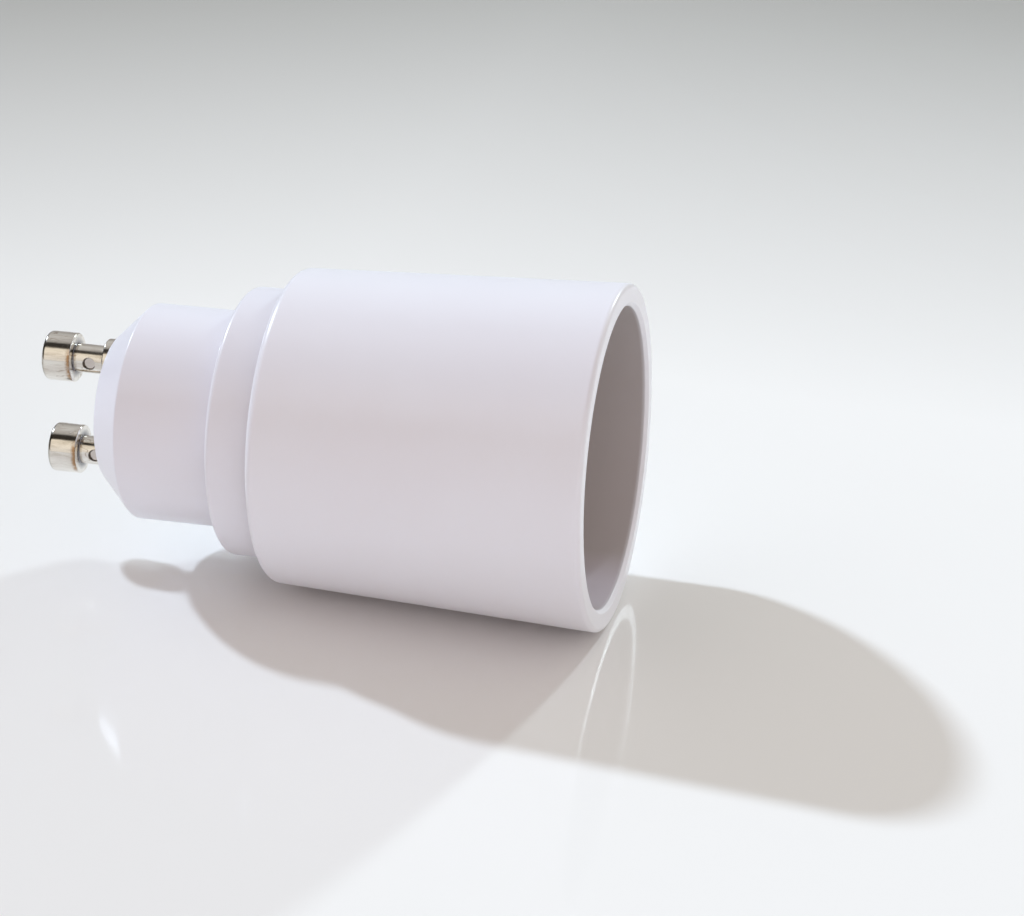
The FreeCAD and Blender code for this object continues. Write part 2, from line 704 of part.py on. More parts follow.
def makeLead(side, knees, tag):
    """One lead from its pin's bore to its tag: bare wire, insulation and the solder that joins wire and tag."""
    path = [FreeCAD.Vector(*(number(c) for c in knee)) for knee in knees]
    wireRadius = number("Sizes.wireDiameter / 2")
    makeFeature(f"lead_wire_{side}", sweep(route(path), wireRadius))
    bareTop = path[0].z - number(pinTail) + number("Sizes.wireEndGap")
    bareFoot = number(f"{carrierBack} + Sizes.tagHeight") - path[-1].z + number("Sizes.wireEndGap")
    sleeve = route(path, bareTop, bareFoot)
    aroundWire = wireRadius + number("Sizes.insulationClearance")
    tube = sweep(sleeve, number("Sizes.insulationDiameter / 2")).cut(sweep(sleeve, aroundWire))
    makeFeature(f"lead_sleeve_{side}", tube)
    lugMiddle = number(f"({tagTop} + {carrierBack} + Sizes.tagHeight) / 2")
    joint = FreeCAD.Vector(path[-1].x, path[-1].y, lugMiddle)
    size = number("Sizes.solderSize")
    core = Part.makeCylinder(aroundWire, 2 * size, joint - FreeCAD.Vector(0, 0, size))
    blob = Part.makeSphere(size / 2, joint).cut([core, tag.Shape])
    makeFeature(f"solder_joint_{side}", blob)


def makeLeads(shellTag, leafTag):
    wireFoot = f"({tagTop} + Sizes.wireEndGap)"
    wireTop = f"({boreEnd} - Sizes.wireEndGap)"
    inset = "(Sizes.tagReach + Sizes.wireDiameter / 2)"
    acrossX = f"({rivetX} - {inset} * cos(Sizes.rivetAngle))"
    acrossY = f"({rivetY} - {inset} * sin(Sizes.rivetAngle))"
    knee = f"({pinTail} - Sizes.leadDrop)"
    leafRise = f"({wireFoot} + Sizes.leadRiseLeaf)"
    half = "Sizes.pinSpacing / 2"
    makeLead("a", [
        ("0", half, wireTop), ("0", half, knee),
        (acrossX, acrossY, f"{wireFoot} + Sizes.leadRiseShell"), (acrossX, acrossY, wireFoot),
    ], shellTag)
    foot = f"({inset} - {leafRivetRadius})"
    makeLead("b", [
        ("0", f"-{half}", wireTop), ("0", f"-{half}", knee),
        ("-Sizes.leadSlack", f"-{half}", f"({knee} + {leafRise}) / 2"),
        ("0", foot, leafRise), ("0", foot, wireFoot),
    ], leafTag)


makeBarrel()
makeBase()
makeCarrier()
makeShell()
makeLeaf()
makeButton()
footFront = f"({carrierFace} - Sizes.leafThickness)"
flangeFront = f"({carrierFace} - Sizes.shellThickness)"
makeRivet("leaf_rivet", "0", f"-{leafRivetRadius}", footFront, tagTop)
makeRivet("shell_rivet_a", rivetX, rivetY, flangeFront, tagTop)
makeRivet("shell_rivet_b", f"-{rivetX}", f"-{rivetY}", flangeFront, carrierBack)
shellTag = makeTag("shell_tag", rivetX, rivetY, "180 + Sizes.rivetAngle")
leafTag = makeTag("leaf_tag", "0", f"-{leafRivetRadius}", "90")
makeScrew("case_screw_a", screwRadius)
makeScrew("case_screw_b", f"-{screwRadius}")
makePin("base_pin_a", "Sizes.pinSpacing / 2")
makePin("base_pin_b", "-Sizes.pinSpacing / 2")
makeWasher("pin_washer_a", "Sizes.pinSpacing / 2")
makeWasher("pin_washer_b", "-Sizes.pinSpacing / 2")
makeLeads(shellTag, leafTag)
doc.recompute()

# Every object must be sound before anything is written
for item in doc.Objects:
    if {"Invalid", "Error"} & set(item.State):
        raise ValueError(f"{item.Label} failed to build")
nodes = [o for o in doc.Objects if o.TypeId in ("PartDesign::Body", "Part::Feature")]
for node in nodes:
    if node.Shape.isNull() or not node.Shape.isValid():
        raise ValueError(f"{node.Label} isn't a sound shape")
os.makedirs("parts", exist_ok=True)
for node in nodes:
    node.Shape.exportStep(f"parts/{node.Label}.step")
    print(f"{node.Label}: {len(node.Shape.Solids)} solid, {node.Shape.Volume:.1f} mm3")
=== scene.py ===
import functools
import json
import math

import bmesh
import bpy
from mathutils import Matrix, Vector


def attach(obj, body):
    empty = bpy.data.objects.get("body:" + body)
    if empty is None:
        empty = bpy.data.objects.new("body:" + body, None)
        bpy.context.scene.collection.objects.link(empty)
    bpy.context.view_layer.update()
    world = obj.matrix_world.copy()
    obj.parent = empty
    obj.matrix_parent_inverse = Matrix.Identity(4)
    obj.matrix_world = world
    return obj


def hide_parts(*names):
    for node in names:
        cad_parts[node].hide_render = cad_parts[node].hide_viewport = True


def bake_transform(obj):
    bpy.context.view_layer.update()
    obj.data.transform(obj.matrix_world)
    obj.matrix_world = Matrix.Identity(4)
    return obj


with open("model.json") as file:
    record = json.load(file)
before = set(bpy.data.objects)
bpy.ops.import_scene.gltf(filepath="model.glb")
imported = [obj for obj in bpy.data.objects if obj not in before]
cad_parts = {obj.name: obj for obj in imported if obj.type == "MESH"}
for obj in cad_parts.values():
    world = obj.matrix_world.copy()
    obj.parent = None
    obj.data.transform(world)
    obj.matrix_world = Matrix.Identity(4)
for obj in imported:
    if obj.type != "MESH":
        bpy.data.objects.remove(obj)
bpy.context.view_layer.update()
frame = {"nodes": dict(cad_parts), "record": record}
mm = 0.001
print("frame loaded:", len(frame["nodes"]), "nodes")


def newMaterial(name):
    material = bpy.data.materials.new(name)
    material.use_nodes = True
    tree = material.node_tree
    return material, tree, tree.nodes["Principled BSDF"]


def objectPoint(tree, scale=(1, 1, 1)):
    coord = tree.nodes.new("ShaderNodeTexCoord")
    mapping = tree.nodes.new("ShaderNodeMapping")
    mapping.inputs["Scale"].default_value = scale
    tree.links.new(coord.outputs["Object"], mapping.inputs["Vector"])
    return mapping.outputs["Vector"]


def axes(tree, point):
    split = tree.nodes.new("ShaderNodeSeparateXYZ")
    tree.links.new(point, split.inputs[0])
    return split.outputs["X"], split.outputs["Y"], split.outputs["Z"]


def noise(tree, point, scale, detail=3.0, rough=0.5):
    node = tree.nodes.new("ShaderNodeTexNoise")
    node.inputs["Scale"].default_value = scale
    node.inputs["Detail"].default_value = detail
    node.inputs["Roughness"].default_value = rough
    tree.links.new(point, node.inputs["Vector"])
    return node.outputs["Fac"]


def spread(tree, value, fromLow, fromHigh, low=0, high=1):
    node = tree.nodes.new("ShaderNodeMapRange")
    node.inputs["From Min"].default_value = fromLow
    node.inputs["From Max"].default_value = fromHigh
    node.inputs["To Min"].default_value = low
    node.inputs["To Max"].default_value = high
    tree.links.new(value, node.inputs["Value"])
    return node.outputs["Result"]


def maths(tree, operation, first, second=0.0):
    node = tree.nodes.new("ShaderNodeMath")
    node.operation = operation
    for socket, value in zip(node.inputs, (first, second)):
        if isinstance(value, (int, float)):
            socket.default_value = value
        else:
            tree.links.new(value, socket)
    return node.outputs["Value"]


def distance(tree, first, second):
    squares = [maths(tree, "MULTIPLY", value, value) for value in (first, second)]
    return maths(tree, "SQRT", maths(tree, "ADD", *squares))


def mixColour(tree, factor, first, second):
    node = tree.nodes.new("ShaderNodeMix")
    node.data_type = "RGBA"
    # of the node's sockets, 6 and 7 take the colours
    for socket, value in ((node.inputs[6], first), (node.inputs[7], second)):
        if isinstance(value, tuple):
            socket.default_value = value
        else:
            tree.links.new(value, socket)
    tree.links.new(factor, node.inputs[0])
    return node.outputs[2]


def bump(tree, shader, height, strength, depth):
    node = tree.nodes.new("ShaderNodeBump")
    node.inputs["Strength"].default_value = strength
    node.inputs["Distance"].default_value = depth
    tree.links.new(height, node.inputs["Height"])
    tree.links.new(node.outputs["Normal"], shader.inputs["Normal"])


def joinShaders(tree, factor, first, second):
    mix = tree.nodes.new("ShaderNodeMixShader")
    tree.links.new(factor, mix.inputs[0])
    tree.links.new(first.outputs[0], mix.inputs[1])
    tree.links.new(second.outputs[0], mix.inputs[2])
    return mix


plasticGrain = {
    "cloudScale": 60,
    "cloudEdge": (0.35, 0.65),
    "fineScale": 900,
    "fineEdge": (0.3, 0.7),
    "smoother": 0.025,
    "rougher": 0.035,
    "peelScale": 400,
    "peelStrength": 0.3,
    "ior": 1.48,
}


def plasticFinish(name, colour, shade, roughness, peel, inside=None):
    material, tree, shader = newMaterial(name)
    point = objectPoint(tree)
    cloud = noise(tree, point, plasticGrain["cloudScale"], 2.0)
    tone = mixColour(tree, spread(tree, cloud, *plasticGrain["cloudEdge"]), colour, shade)
    if inside:
        # the bore is painted darker than the outside as painted shade, and painted paler along its underside
        # where a painted patch of lamp light lies
        x, y, z = axes(tree, point)
        bore = spread(tree, distance(tree, x, y), *inside["wall"], 1, 0)
        deep = spread(tree, z, *inside["depth"])
        # a tone of painted shade inside the bore, mixed towards a pale painted patch of light along its
        # underside
        dull = mixColour(tree, spread(tree, y, *inside["boreLitPatchEdge"]), inside["colour"], inside["boreLitPatch"])
        tone = mixColour(tree, maths(tree, "MULTIPLY", bore, deep), tone, dull)
    tree.links.new(tone, shader.inputs["Base Color"])
    fine = noise(tree, point, plasticGrain["fineScale"], 2.0)
    low, high = roughness - plasticGrain["smoother"], roughness + plasticGrain["rougher"]
    tree.links.new(spread(tree, fine, *plasticGrain["fineEdge"], low, high), shader.inputs["Roughness"])
    shader.inputs["IOR"].default_value = plasticGrain["ior"]
    bump(tree, shader, noise(tree, point, plasticGrain["peelScale"], 1.0), plasticGrain["peelStrength"], peel)
    return material


metalGrain = {
    "cloudScale": 500,
    "cloudEdge": (0.4, 0.7),
    "fineScale": 2500,
    "fineEdge": (0.3, 0.7),
    "smoother": 0.7,
    "rougher": 1.4,
    "scratchStrength": 0.3,
    "scratchDepth": 0.00001,
}


def metalFinish(name, colour, shade, roughness, grain=(1, 1, 1), recess=None):
    material, tree, shader = newMaterial(name)
    shader.inputs["Metallic"].default_value = 1.0
    point = objectPoint(tree, grain)
    cloud = noise(tree, point, metalGrain["cloudScale"])
    tone = mixColour(tree, spread(tree, cloud, *metalGrain["cloudEdge"]), colour, shade)
    if recess:
        # the driver recess lies in its own shade
        x, y, z = axes(tree, point)
        beside = maths(tree, "SUBTRACT", maths(tree, "ABSOLUTE", x), recess["place"])
        within = maths(tree, "LESS_THAN", distance(tree, beside, y), recess["radius"])
        deep = maths(tree, "MULTIPLY", within, spread(tree, z, recess["top"], recess["shaded"]))
        deep = maths(tree, "MULTIPLY", deep, maths(tree, "LESS_THAN", z, recess["below"]))
        tone = mixColour(tree, deep, tone, recess["colour"])
    tree.links.new(tone, shader.inputs["Base Color"])
    fine = noise(tree, point, metalGrain["fineScale"])
    low, high = roughness * metalGrain["smoother"], roughness * metalGrain["rougher"]
    tree.links.new(spread(tree, fine, *metalGrain["fineEdge"], low, high), shader.inputs["Roughness"])
    bump(tree, shader, fine, metalGrain["scratchStrength"], metalGrain["scratchDepth"])
    return material


pinWearAndShade = {
    "nickel": (0.80, 0.765, 0.71, 1),
    "dull": (0.60, 0.55, 0.49, 1),
    "streakScale": 1500,
    "streakLength": 0.2,
    "streakEdge": (0.42, 0.68),
    "smooth": 0.06,
    "rough": 0.26,
    "roughEdge": (0.3, 0.7),
    "grainStrength": 0.5,
    "grainHeight": 0.000012,
    "pinPlace": 0.005,
    "tarnish": (0.36, 0.20, 0.085, 1),
    "tarnishDepth": 0.9,
    "tarnishEdge": (0.0555, 0.05495),
    "sideEdge": (0.0023, 0.0024),
    "patchScale": 900,
    "patchEdge": (0.3, 0.7),
    "patchLeast": 0.1,
    "stainEdge": (0.1, 0.5),
    "stainFacing": (-0.0022, -0.0016),
    "rim": (0.30, 0.27, 0.23, 1),
    "rimRadius": (0.002, 0.0022),
    "rimHeight": (0.0575, 0.0577),
    "rimDepth": 0.7,
    # painted shade round the neck on the head's inner face
    "neckShade": (0.16, 0.15, 0.16, 1),
    "neckShadeEdge": (0.00155, 0.0021),
    "neckShadeDepth": 0.85,
    "faceHeight": 0.0549,
    "faceBand": 0.00012,
    "markHeight": 0.0532,
    "markRadius": 0.0006,
    "markFacing": (-0.0008, -0.0006),
    # painted shade in the punched mark: a darker floor, and a dark crescent at its edge towards the head
    "markFloorShade": (0.56, 0.50, 0.47, 1),
    "floorRadius": 0.00051,
    "floorDepth": 0.75,
    "crescentShade": (0.10, 0.085, 0.075, 1),
    "crescentShadeEdge": (0.00004, 0.0001),
    "crescentShadeDepth": 0.9,
    "crescentShadeAlong": (-0.0002, 0.0003),
    "scuff": (0.34, 0.25, 0.18, 1),
    "scuffScale": 700,
    "scuffStretch": 0.5,
    "scuffLevel": 0.52,
    "scuffWidth": 0.014,
    "scuffDepth": 0.8,
    "regionScale": 420,
    "regionEdge": (0.46, 0.54),
}


def pinFinish(name, wearAndShade):
    material, tree, shader = newMaterial(name)
    shader.inputs["Metallic"].default_value = 1.0
    do = functools.partial(maths, tree)
    plain = objectPoint(tree)
    x, y, z = axes(tree, plain)
    streak = noise(tree, objectPoint(tree, (1, 1, wearAndShade["streakLength"])), wearAndShade["streakScale"], 5.0, 0.65)
    tone = mixColour(tree, spread(tree, streak, *wearAndShade["streakEdge"]), wearAndShade["nickel"], wearAndShade["dull"])
    aside = do("SUBTRACT", do("ABSOLUTE", y), wearAndShade["pinPlace"])
    radius = distance(tree, aside, x)
    # heat tarnish creeps over the head's side from its inner edge
    edge = spread(tree, z, *wearAndShade["tarnishEdge"])
    patches = noise(tree, plain, wearAndShade["patchScale"], 4.0, 0.6)
    patches = spread(tree, patches, *wearAndShade["patchEdge"], wearAndShade["patchLeast"], 1)
    stain = spread(tree, do("MULTIPLY", edge, patches), *wearAndShade["stainEdge"], 0, wearAndShade["tarnishDepth"])
    stain = do("MULTIPLY", stain, spread(tree, radius, *wearAndShade["sideEdge"]))
    stain = do("MULTIPLY", stain, spread(tree, x, *wearAndShade["stainFacing"], 1, 0))
    tone = mixColour(tree, stain, tone, wearAndShade["tarnish"])
    # a darker band round the edge of the head's end, and painted shade round the neck on the head's inner
    # face, darkest in the corner by the shank
    rim = spread(tree, radius, *wearAndShade["rimRadius"])
    ends = spread(tree, z, *wearAndShade["rimHeight"], 0, wearAndShade["rimDepth"])
    tone = mixColour(tree, do("MULTIPLY", rim, ends), tone, wearAndShade["rim"])
    root = spread(tree, radius, *wearAndShade["neckShadeEdge"], wearAndShade["neckShadeDepth"], 0)
    face = do("COMPARE", z, wearAndShade["faceHeight"])
    face.node.inputs[2].default_value = wearAndShade["faceBand"]
    tone = mixColour(tree, do("MULTIPLY", root, face), tone, wearAndShade["neckShade"])
    # the punched mark's floor gets painted shade, and its edge towards the head a dark crescent of painted
    # shade
    along = do("SUBTRACT", z, wearAndShade["markHeight"])
    fromMark = distance(tree, aside, along)
    front = spread(tree, x, *wearAndShade["markFacing"], 1, 0)
    floor = spread(tree, fromMark, wearAndShade["floorRadius"], wearAndShade["markRadius"], wearAndShade["floorDepth"], 0)
    tone = mixColour(tree, do("MULTIPLY", floor, front), tone, wearAndShade["markFloorShade"])
    ring = do("ABSOLUTE", do("SUBTRACT", fromMark, wearAndShade["markRadius"]))
    ring = spread(tree, ring, *wearAndShade["crescentShadeEdge"], wearAndShade["crescentShadeDepth"], 0)
    ring = do("MULTIPLY", ring, spread(tree, along, *wearAndShade["crescentShadeAlong"]))
    tone = mixColour(tree, do("MULTIPLY", ring, front), tone, wearAndShade["crescentShade"])
    # fine brown scuffs
    ripple = noise(tree, objectPoint(tree, (1, 1, wearAndShade["scuffStretch"])), wearAndShade["scuffScale"], 2.0)
    scuff = do("ABSOLUTE", do("SUBTRACT", ripple, wearAndShade["scuffLevel"]))
    scuff = spread(tree, scuff, 0, wearAndShade["scuffWidth"], wearAndShade["scuffDepth"], 0)
    region = spread(tree, noise(tree, plain, wearAndShade["regionScale"], 1.0), *wearAndShade["regionEdge"])
    tone = mixColour(tree, do("MULTIPLY", scuff, region), tone, wearAndShade["scuff"])
    tree.links.new(tone, shader.inputs["Base Color"])
    roughness = spread(tree, streak, *wearAndShade["roughEdge"], wearAndShade["smooth"], wearAndShade["rough"])
    tree.links.new(roughness, shader.inputs["Roughness"])
    bump(tree, shader, streak, wearAndShade["grainStrength"], wearAndShade["grainHeight"])
    return material


screwRecess = {
    "place": 0.0083,
    "radius": 0.00145,
    "top": 0.02632,
    "shaded": 0.0269,
    "below": 0.0274,
    "colour": (0.05, 0.05, 0.055, 1),
}
# painted shade inside the barrel's bore, with a pale painted patch of lamp light along its underside
barrelBore = {
    "wall": (0.01474, 0.01479),
    "depth": (0.0003, 0.0007),
    "colour": (0.535, 0.49, 0.49, 1),
    "boreLitPatch": (0.67, 0.62, 0.69, 1),
    "boreLitPatchEdge": (0.0133, 0.0146),
}
finishes = {
    # the base's white is painted a little darker than the barrel's, as painted shade
    "white_plastic": plasticFinish(
        "shadedHousingPlastic", (0.82, 0.812, 0.87, 1), (0.805, 0.797, 0.855, 1), 0.31, 0.000008),
    "carrier_plastic": plasticFinish(
        "carrierPlastic", (0.74, 0.71, 0.62, 1), (0.70, 0.67, 0.58, 1), 0.55, 0.00003),
    "nickel_shell": metalFinish(
        "shellNickel", (0.72, 0.68, 0.61, 1), (0.66, 0.61, 0.53, 1), 0.2, (1, 1, 0.3)),
    "spring_bronze": metalFinish(
        "springBronze", (0.78, 0.52, 0.27, 1), (0.62, 0.38, 0.18, 1), 0.28, (1, 0.15, 1)),
    "contact_brass": metalFinish("contactBrass", (0.83, 0.63, 0.31, 1), (0.70, 0.50, 0.22, 1), 0.22),
    "tag_brass": metalFinish("tagBrass", (0.70, 0.66, 0.55, 1), (0.60, 0.55, 0.43, 1), 0.35),
    "zinc_steel": metalFinish(
        "zincSteel", (0.66, 0.68, 0.71, 1), (0.55, 0.57, 0.60, 1), 0.3, recess=screwRecess),
    "nickel_pin": pinFinish("pinNickel", pinWearAndShade),
    "spring_steel": metalFinish("springSteel", (0.30, 0.30, 0.32, 1), (0.22, 0.22, 0.26, 1), 0.3),
    "copper_wire": metalFinish("copperWire", (0.80, 0.42, 0.26, 1), (0.66, 0.32, 0.18, 1), 0.3),
    "silicone_sleeve": plasticFinish(
        "siliconeSleeve", (0.78, 0.77, 0.72, 1), (0.74, 0.72, 0.66, 1), 0.6, 0.00003),
    "solder": metalFinish("softSolder", (0.62, 0.63, 0.65, 1), (0.52, 0.53, 0.55, 1), 0.25),
}
for part in frame["record"]["subparts"]:
    node = frame["nodes"][part["node"]]
    node.data.materials.clear()
    node.data.materials.append(finishes[part["material_slot"]])
# the barrel's own white, paler than the base's painted shade, carrying the bore's painted shade and painted
# light
barrelPlastic = plasticFinish(
    "barrelPlastic", (0.84, 0.838, 0.89, 1), (0.83, 0.822, 0.873, 1), 0.31, 0.000008, barrelBore)
print("finishes made:", len(finishes) + 1)


def addObject(name, data):
    obj = bpy.data.objects.new(name, data)
    bpy.context.scene.collection.objects.link(obj)
    return obj


def addPiece(name, mesh, finish, body, *nodes):
    mesh.materials.clear()
    mesh.materials.append(finishes[finish])
    piece = addObject(name, mesh)
    if body:
        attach(piece, body)
    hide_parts(*nodes)
    return piece


def evaluated(obj):
    # the mesh that the object's curve or modifiers give
    bpy.context.view_layer.update()
    return bpy.data.meshes.new_from_object(obj.evaluated_get(bpy.context.evaluated_depsgraph_get()))


def onCircle(angle, radius, centre=(0, 0)):
    return Vector((centre[0] + radius * math.cos(angle), centre[1] + radius * math.sin(angle)))


def cornerArc(before, here, after, radius, steps):
    # the arc that rounds a corner, the two directions away from it and its reach along them
    back, ahead = (before - here).normalized(), (after - here).normalized()
    half = back.angle(ahead) / 2
    reach = radius / math.tan(half)
    centre = here + (back + ahead).normalized() * radius / math.sin(half)
    a, b = here + back * reach - centre, here + ahead * reach - centre
    sweep = a.angle(b)
    arc = []
    for step in range(steps + 1):
        share = step / steps
        between = a * math.sin((1 - share) * sweep) + b * math.sin(share * sweep)
        arc.append(centre + between / math.sin(sweep))
    return arc, back, ahead, reach


# a profile in (radius, height, rounding) corners becomes points with true arcs at the corners,
# and a support point beside each arc keeps the flat runs flat
def outline(corners, closed=False, steps=6, support=0.1):
    points = []
    last = len(corners) - 1
    for index, (r, z, radius) in enumerate(corners):
        here = Vector((r, z))
        if radius == 0 or (not closed and index in (0, last)):
            points.append(here)
            continue
        before = Vector(corners[index - 1][:2])
        after = Vector(corners[(index + 1) % (last + 1)][:2])
        arc, back, ahead, reach = cornerArc(before, here, after, radius, steps)
        if (before - here).length > reach + 4 * support:
            points.append(here + back * reach + back * support)
        points += arc
        if (after - here).length > reach + 4 * support:
            points.append(here + ahead * reach + ahead * support)
    return points


onAxis = 1e-6


def turn(work, points, sides, closed=False, centre=(0, 0)):
    rings = []
    angles = [2 * math.pi * side / sides for side in range(sides)]
    for point in points:
        if point.x < onAxis:
            rings.append([work.verts.new((centre[0], centre[1], point.y))])
        else:
            ring = [onCircle(a, point.x, centre) for a in angles]
            rings.append([work.verts.new((spot.x, spot.y, point.y)) for spot in ring])
    for low, high in list(zip(rings, rings[1:])) + ([(rings[-1], rings[0])] if closed else []):
        if len(low) == len(high) == 1:
            continue
        for side in range(sides):
            beside = (side + 1) % sides
            if len(low) == 1:
                work.faces.new((low[0], high[beside], high[side]))
            elif len(high) == 1:
                work.faces.new((low[side], low[beside], high[0]))
            else:
                work.faces.new((low[side], low[beside], high[beside], high[side]))


def addBox(work, low, high):
    across, along, up = zip(low, high)
    corners = [work.verts.new((x, y, z)) for x in across for y in along for z in up]
    for face in ((0, 1, 3, 2), (4, 6, 7, 5), (0, 4, 5, 1), (2, 3, 7, 6), (0, 2, 6, 4), (1, 5, 7, 3)):
        work.faces.new([corners[i] for i in face])


def toMesh(work, name, sharp=40):
    bmesh.ops.recalc_face_normals(work, faces=work.faces)
    for vert in work.verts:
        vert.co *= mm
    for face in work.faces:
        face.smooth = True
    for edge in work.edges:
        if len(edge.link_faces) == 2 and edge.calc_face_angle(0) > math.radians(sharp):
            edge.smooth = False
    return plainMesh(work, name)


def plainMesh(work, name):
    mesh = bpy.data.meshes.new(name)
    work.to_mesh(mesh)
    work.free()
    return mesh


def carve(mesh, cutter):
    # takes the cutter's shape out of the mesh
    body, tool = addObject("body", mesh), addObject("tool", cutter)
    cut = body.modifiers.new("cut", "BOOLEAN")
    cut.operation, cut.solver, cut.object = "DIFFERENCE", "EXACT", tool
    result = evaluated(body)
    for obj in (body, tool):
        bpy.data.objects.remove(obj)
    return result


barrel = {
    "profile": [
        (15.05, 0, 0.1), (16.9, 0, 0.45), (15.55, 32.7, 0.8), (12.2, 32.7, 0.2), (12.2, 30.7, 0),
        (14.2, 30.7, 0), (14.2, 6.6, 0.2), (14.7, 6.6, 0.12), (14.7, 0.35, 0.1),
    ],
    "sides": 360,
    "ribInner": 13.2,
    "ribOuter": 14.7,
    "ribHalfWidth": 1.0,
    "ribLow": 27.9,
    "ribHigh": 30.7,
}


def makeBarrel():
    work = bmesh.new()
    turn(work, outline(barrel["profile"], closed=True), barrel["sides"], closed=True)
    half = barrel["ribHalfWidth"]
    for side in (-1, 1):
        near, far = sorted((side * barrel["ribInner"], side * barrel["ribOuter"]))
        addBox(work, (near, -half, barrel["ribLow"]), (far, half, barrel["ribHigh"]))
    mesh = toMesh(work, "barrelHousing")
    piece = addPiece("barrelHousing", mesh, "white_plastic", "adapter", "barrel_housing")
    piece.data.materials[0] = barrelPlastic


base = {
    "profile": [
        (0, 48.4, 0), (7.487, 48.4, 0.3), (9.15, 46.74, 0.3), (9.15, 35.8, 0.3), (10.8, 35.8, 0.2),
        (10.8, 31.4, 0.1), (12.1, 31.4, 0.2), (12.1, 32.7, 0.1), (13.3, 32.7, 0.15), (13.3, 37.4, 0.5),
        (10.75, 37.4, 0.15), (10.75, 47.4, 0.3), (7.45, 50.7, 0.3), (0, 50.7, 0),
    ],
    "sides": 256,
    "pinHole": [(0, 47), (1.55, 47), (1.55, 52), (0, 52)],
    "pinY": 5,
    "bossX": 8.3,
    "boss": [
        (1.25, 30.9, 0.1), (2.3, 30.9, 0.15), (2.3, 42.9, 0), (0, 42.9, 0), (0, 41.4, 0), (1.25, 41.4, 0),
    ],
    "smallSides": 64,
    "barrier": ((-9.35, -0.6, 38.8), (9.35, 0.6, 48.6)),
    "sharp": 40,
}


def makeBase():
    work = bmesh.new()
    turn(work, outline(base["profile"]), base["sides"])
    skin = toMesh(work, "baseShell")
    for side in (-1, 1):
        hole = bmesh.new()
        points = [Vector(corner) for corner in base["pinHole"]]
        turn(hole, points, base["smallSides"], centre=(0, side * base["pinY"]))
        skin = carve(skin, toMesh(hole, "pinHole"))
    work = bmesh.new()
    boss = outline(base["boss"], closed=True)
    for side in (-1, 1):
        turn(work, boss, base["smallSides"], closed=True, centre=(side * base["bossX"], 0))
    addBox(work, *base["barrier"])
    inside = toMesh(work, "baseInside")
    work = bmesh.new()
    work.from_mesh(skin)
    work.from_mesh(inside)
    for edge in work.edges:
        if len(edge.link_faces) == 2:
            edge.smooth = edge.calc_face_angle(0) < math.radians(base["sharp"])
    addPiece("baseHousing", plainMesh(work, "baseHousing"), "white_plastic", "adapter", "base_housing")


pin = {
    "profile": [
        (0.85, 46.6, 0.1), (1.5, 46.6, 0.2), (1.5, 50.7, 0), (2.2, 50.7, 0.12), (2.2, 51.65, 0.15),
        (1.43, 51.65, 0.1), (1.43, 54.9, 0.08), (2.45, 54.9, 0.14), (2.45, 57.85, 0.35), (0, 57.85, 0),
    ],
    "bore": [(0, 55.65), (0.85, 55.65), (0.85, 46.85)],
    "sides": 144,
    "neck": 1.43,
    "neckFrom": 51.8,
    "neckTo": 54.8,
    "neckRows": 52,
    "dimpleHeight": 53.2,
    "dimpleRadius": 0.6,
    "dimpleDepth": 0.3,
    "dimpleRound": 0.08,
    "near": 1e-4,
    "same": 1e-5,
    "places": {"basePinA": (5, "base_pin_a"), "basePinB": (-5, "base_pin_b")},
}


def pinProfile():
    # the neck gets close rows for the punched mark
    points = outline(pin["profile"])
    low, high = [
        index for index, point in enumerate(points)
        if abs(point.x - pin["neck"]) < pin["near"] and pin["neckFrom"] < point.y < pin["neckTo"]]
    foot, rise = points[low].y, points[high].y - points[low].y
    rows = pin["neckRows"]
    points[low + 1:high] = [Vector((pin["neck"], foot + rise * row / rows)) for row in range(1, rows)]
    return points + [Vector(corner) for corner in pin["bore"]]


def makePins():
    points = pinProfile()
    for name, (y, node) in pin["places"].items():
        work = bmesh.new()
        turn(work, points, pin["sides"])
        # the bore's edge and the shank's are joined across the open end
        loops = []
        for end in (points[-1], points[0]):
            loops.append([
                v for v in work.verts
                if abs(v.co.z - end.y) < pin["same"] and abs(v.co.xy.length - end.x) < pin["same"]])
        edges = [e for e in work.edges if any(all(v in loop for v in e.verts) for loop in loops)]
        bmesh.ops.bridge_loops(work, edges=edges)
        for vert in work.verts:
            if vert.co.x < 0 and abs(vert.co.xy.length - pin["neck"]) < pin["near"]:
                gap = math.hypot(vert.co.y, vert.co.z - pin["dimpleHeight"])
                share = (pin["dimpleRadius"] + pin["dimpleRound"] / 2 - gap) / pin["dimpleRound"]
                share = min(1, max(0, share))
                share *= share * (3 - 2 * share)
                vert.co.x += (pin["dimpleDepth"] - pin["neck"] - vert.co.x) * share
        bmesh.ops.translate(work, verts=work.verts, vec=(0, y, 0))
        addPiece(name, toMesh(work, name), "nickel_pin", "adapter", node)


button = {
    "profile": [
        (0, 24.1, 0), (1.9, 24.1, 0.55), (1.9, 24.9, 0.08), (0.9, 24.9, 0), (0.9, 25.3, 0),
        (1.4, 25.3, 0.05), (1.4, 25.7, 0.2), (0, 25.7, 0),
    ],
    "sides": 96,
}


def makeButton():
    work = bmesh.new()
    turn(work, outline(button["profile"]), button["sides"])
    mesh = toMesh(work, "contactButton")
    addPiece("contactButton", mesh, "contact_brass", "centre_contact", "contact_button")


def blankLoop(corners, steps=10):
    loop = []
    for index, (x, y, radius) in enumerate(corners):
        before, after = Vector(corners[index - 1][:2]), Vector(corners[(index + 1) % len(corners)][:2])
        loop += cornerArc(before, Vector((x, y)), after, radius, steps)[0]
    return loop


def roundLoop(x, y, radius, count=40):
    return [onCircle(2 * math.pi * k / count, radius, (x, y)) for k in range(count)]


weldGap = {"blank": 0.0005, "grid": 0.001}


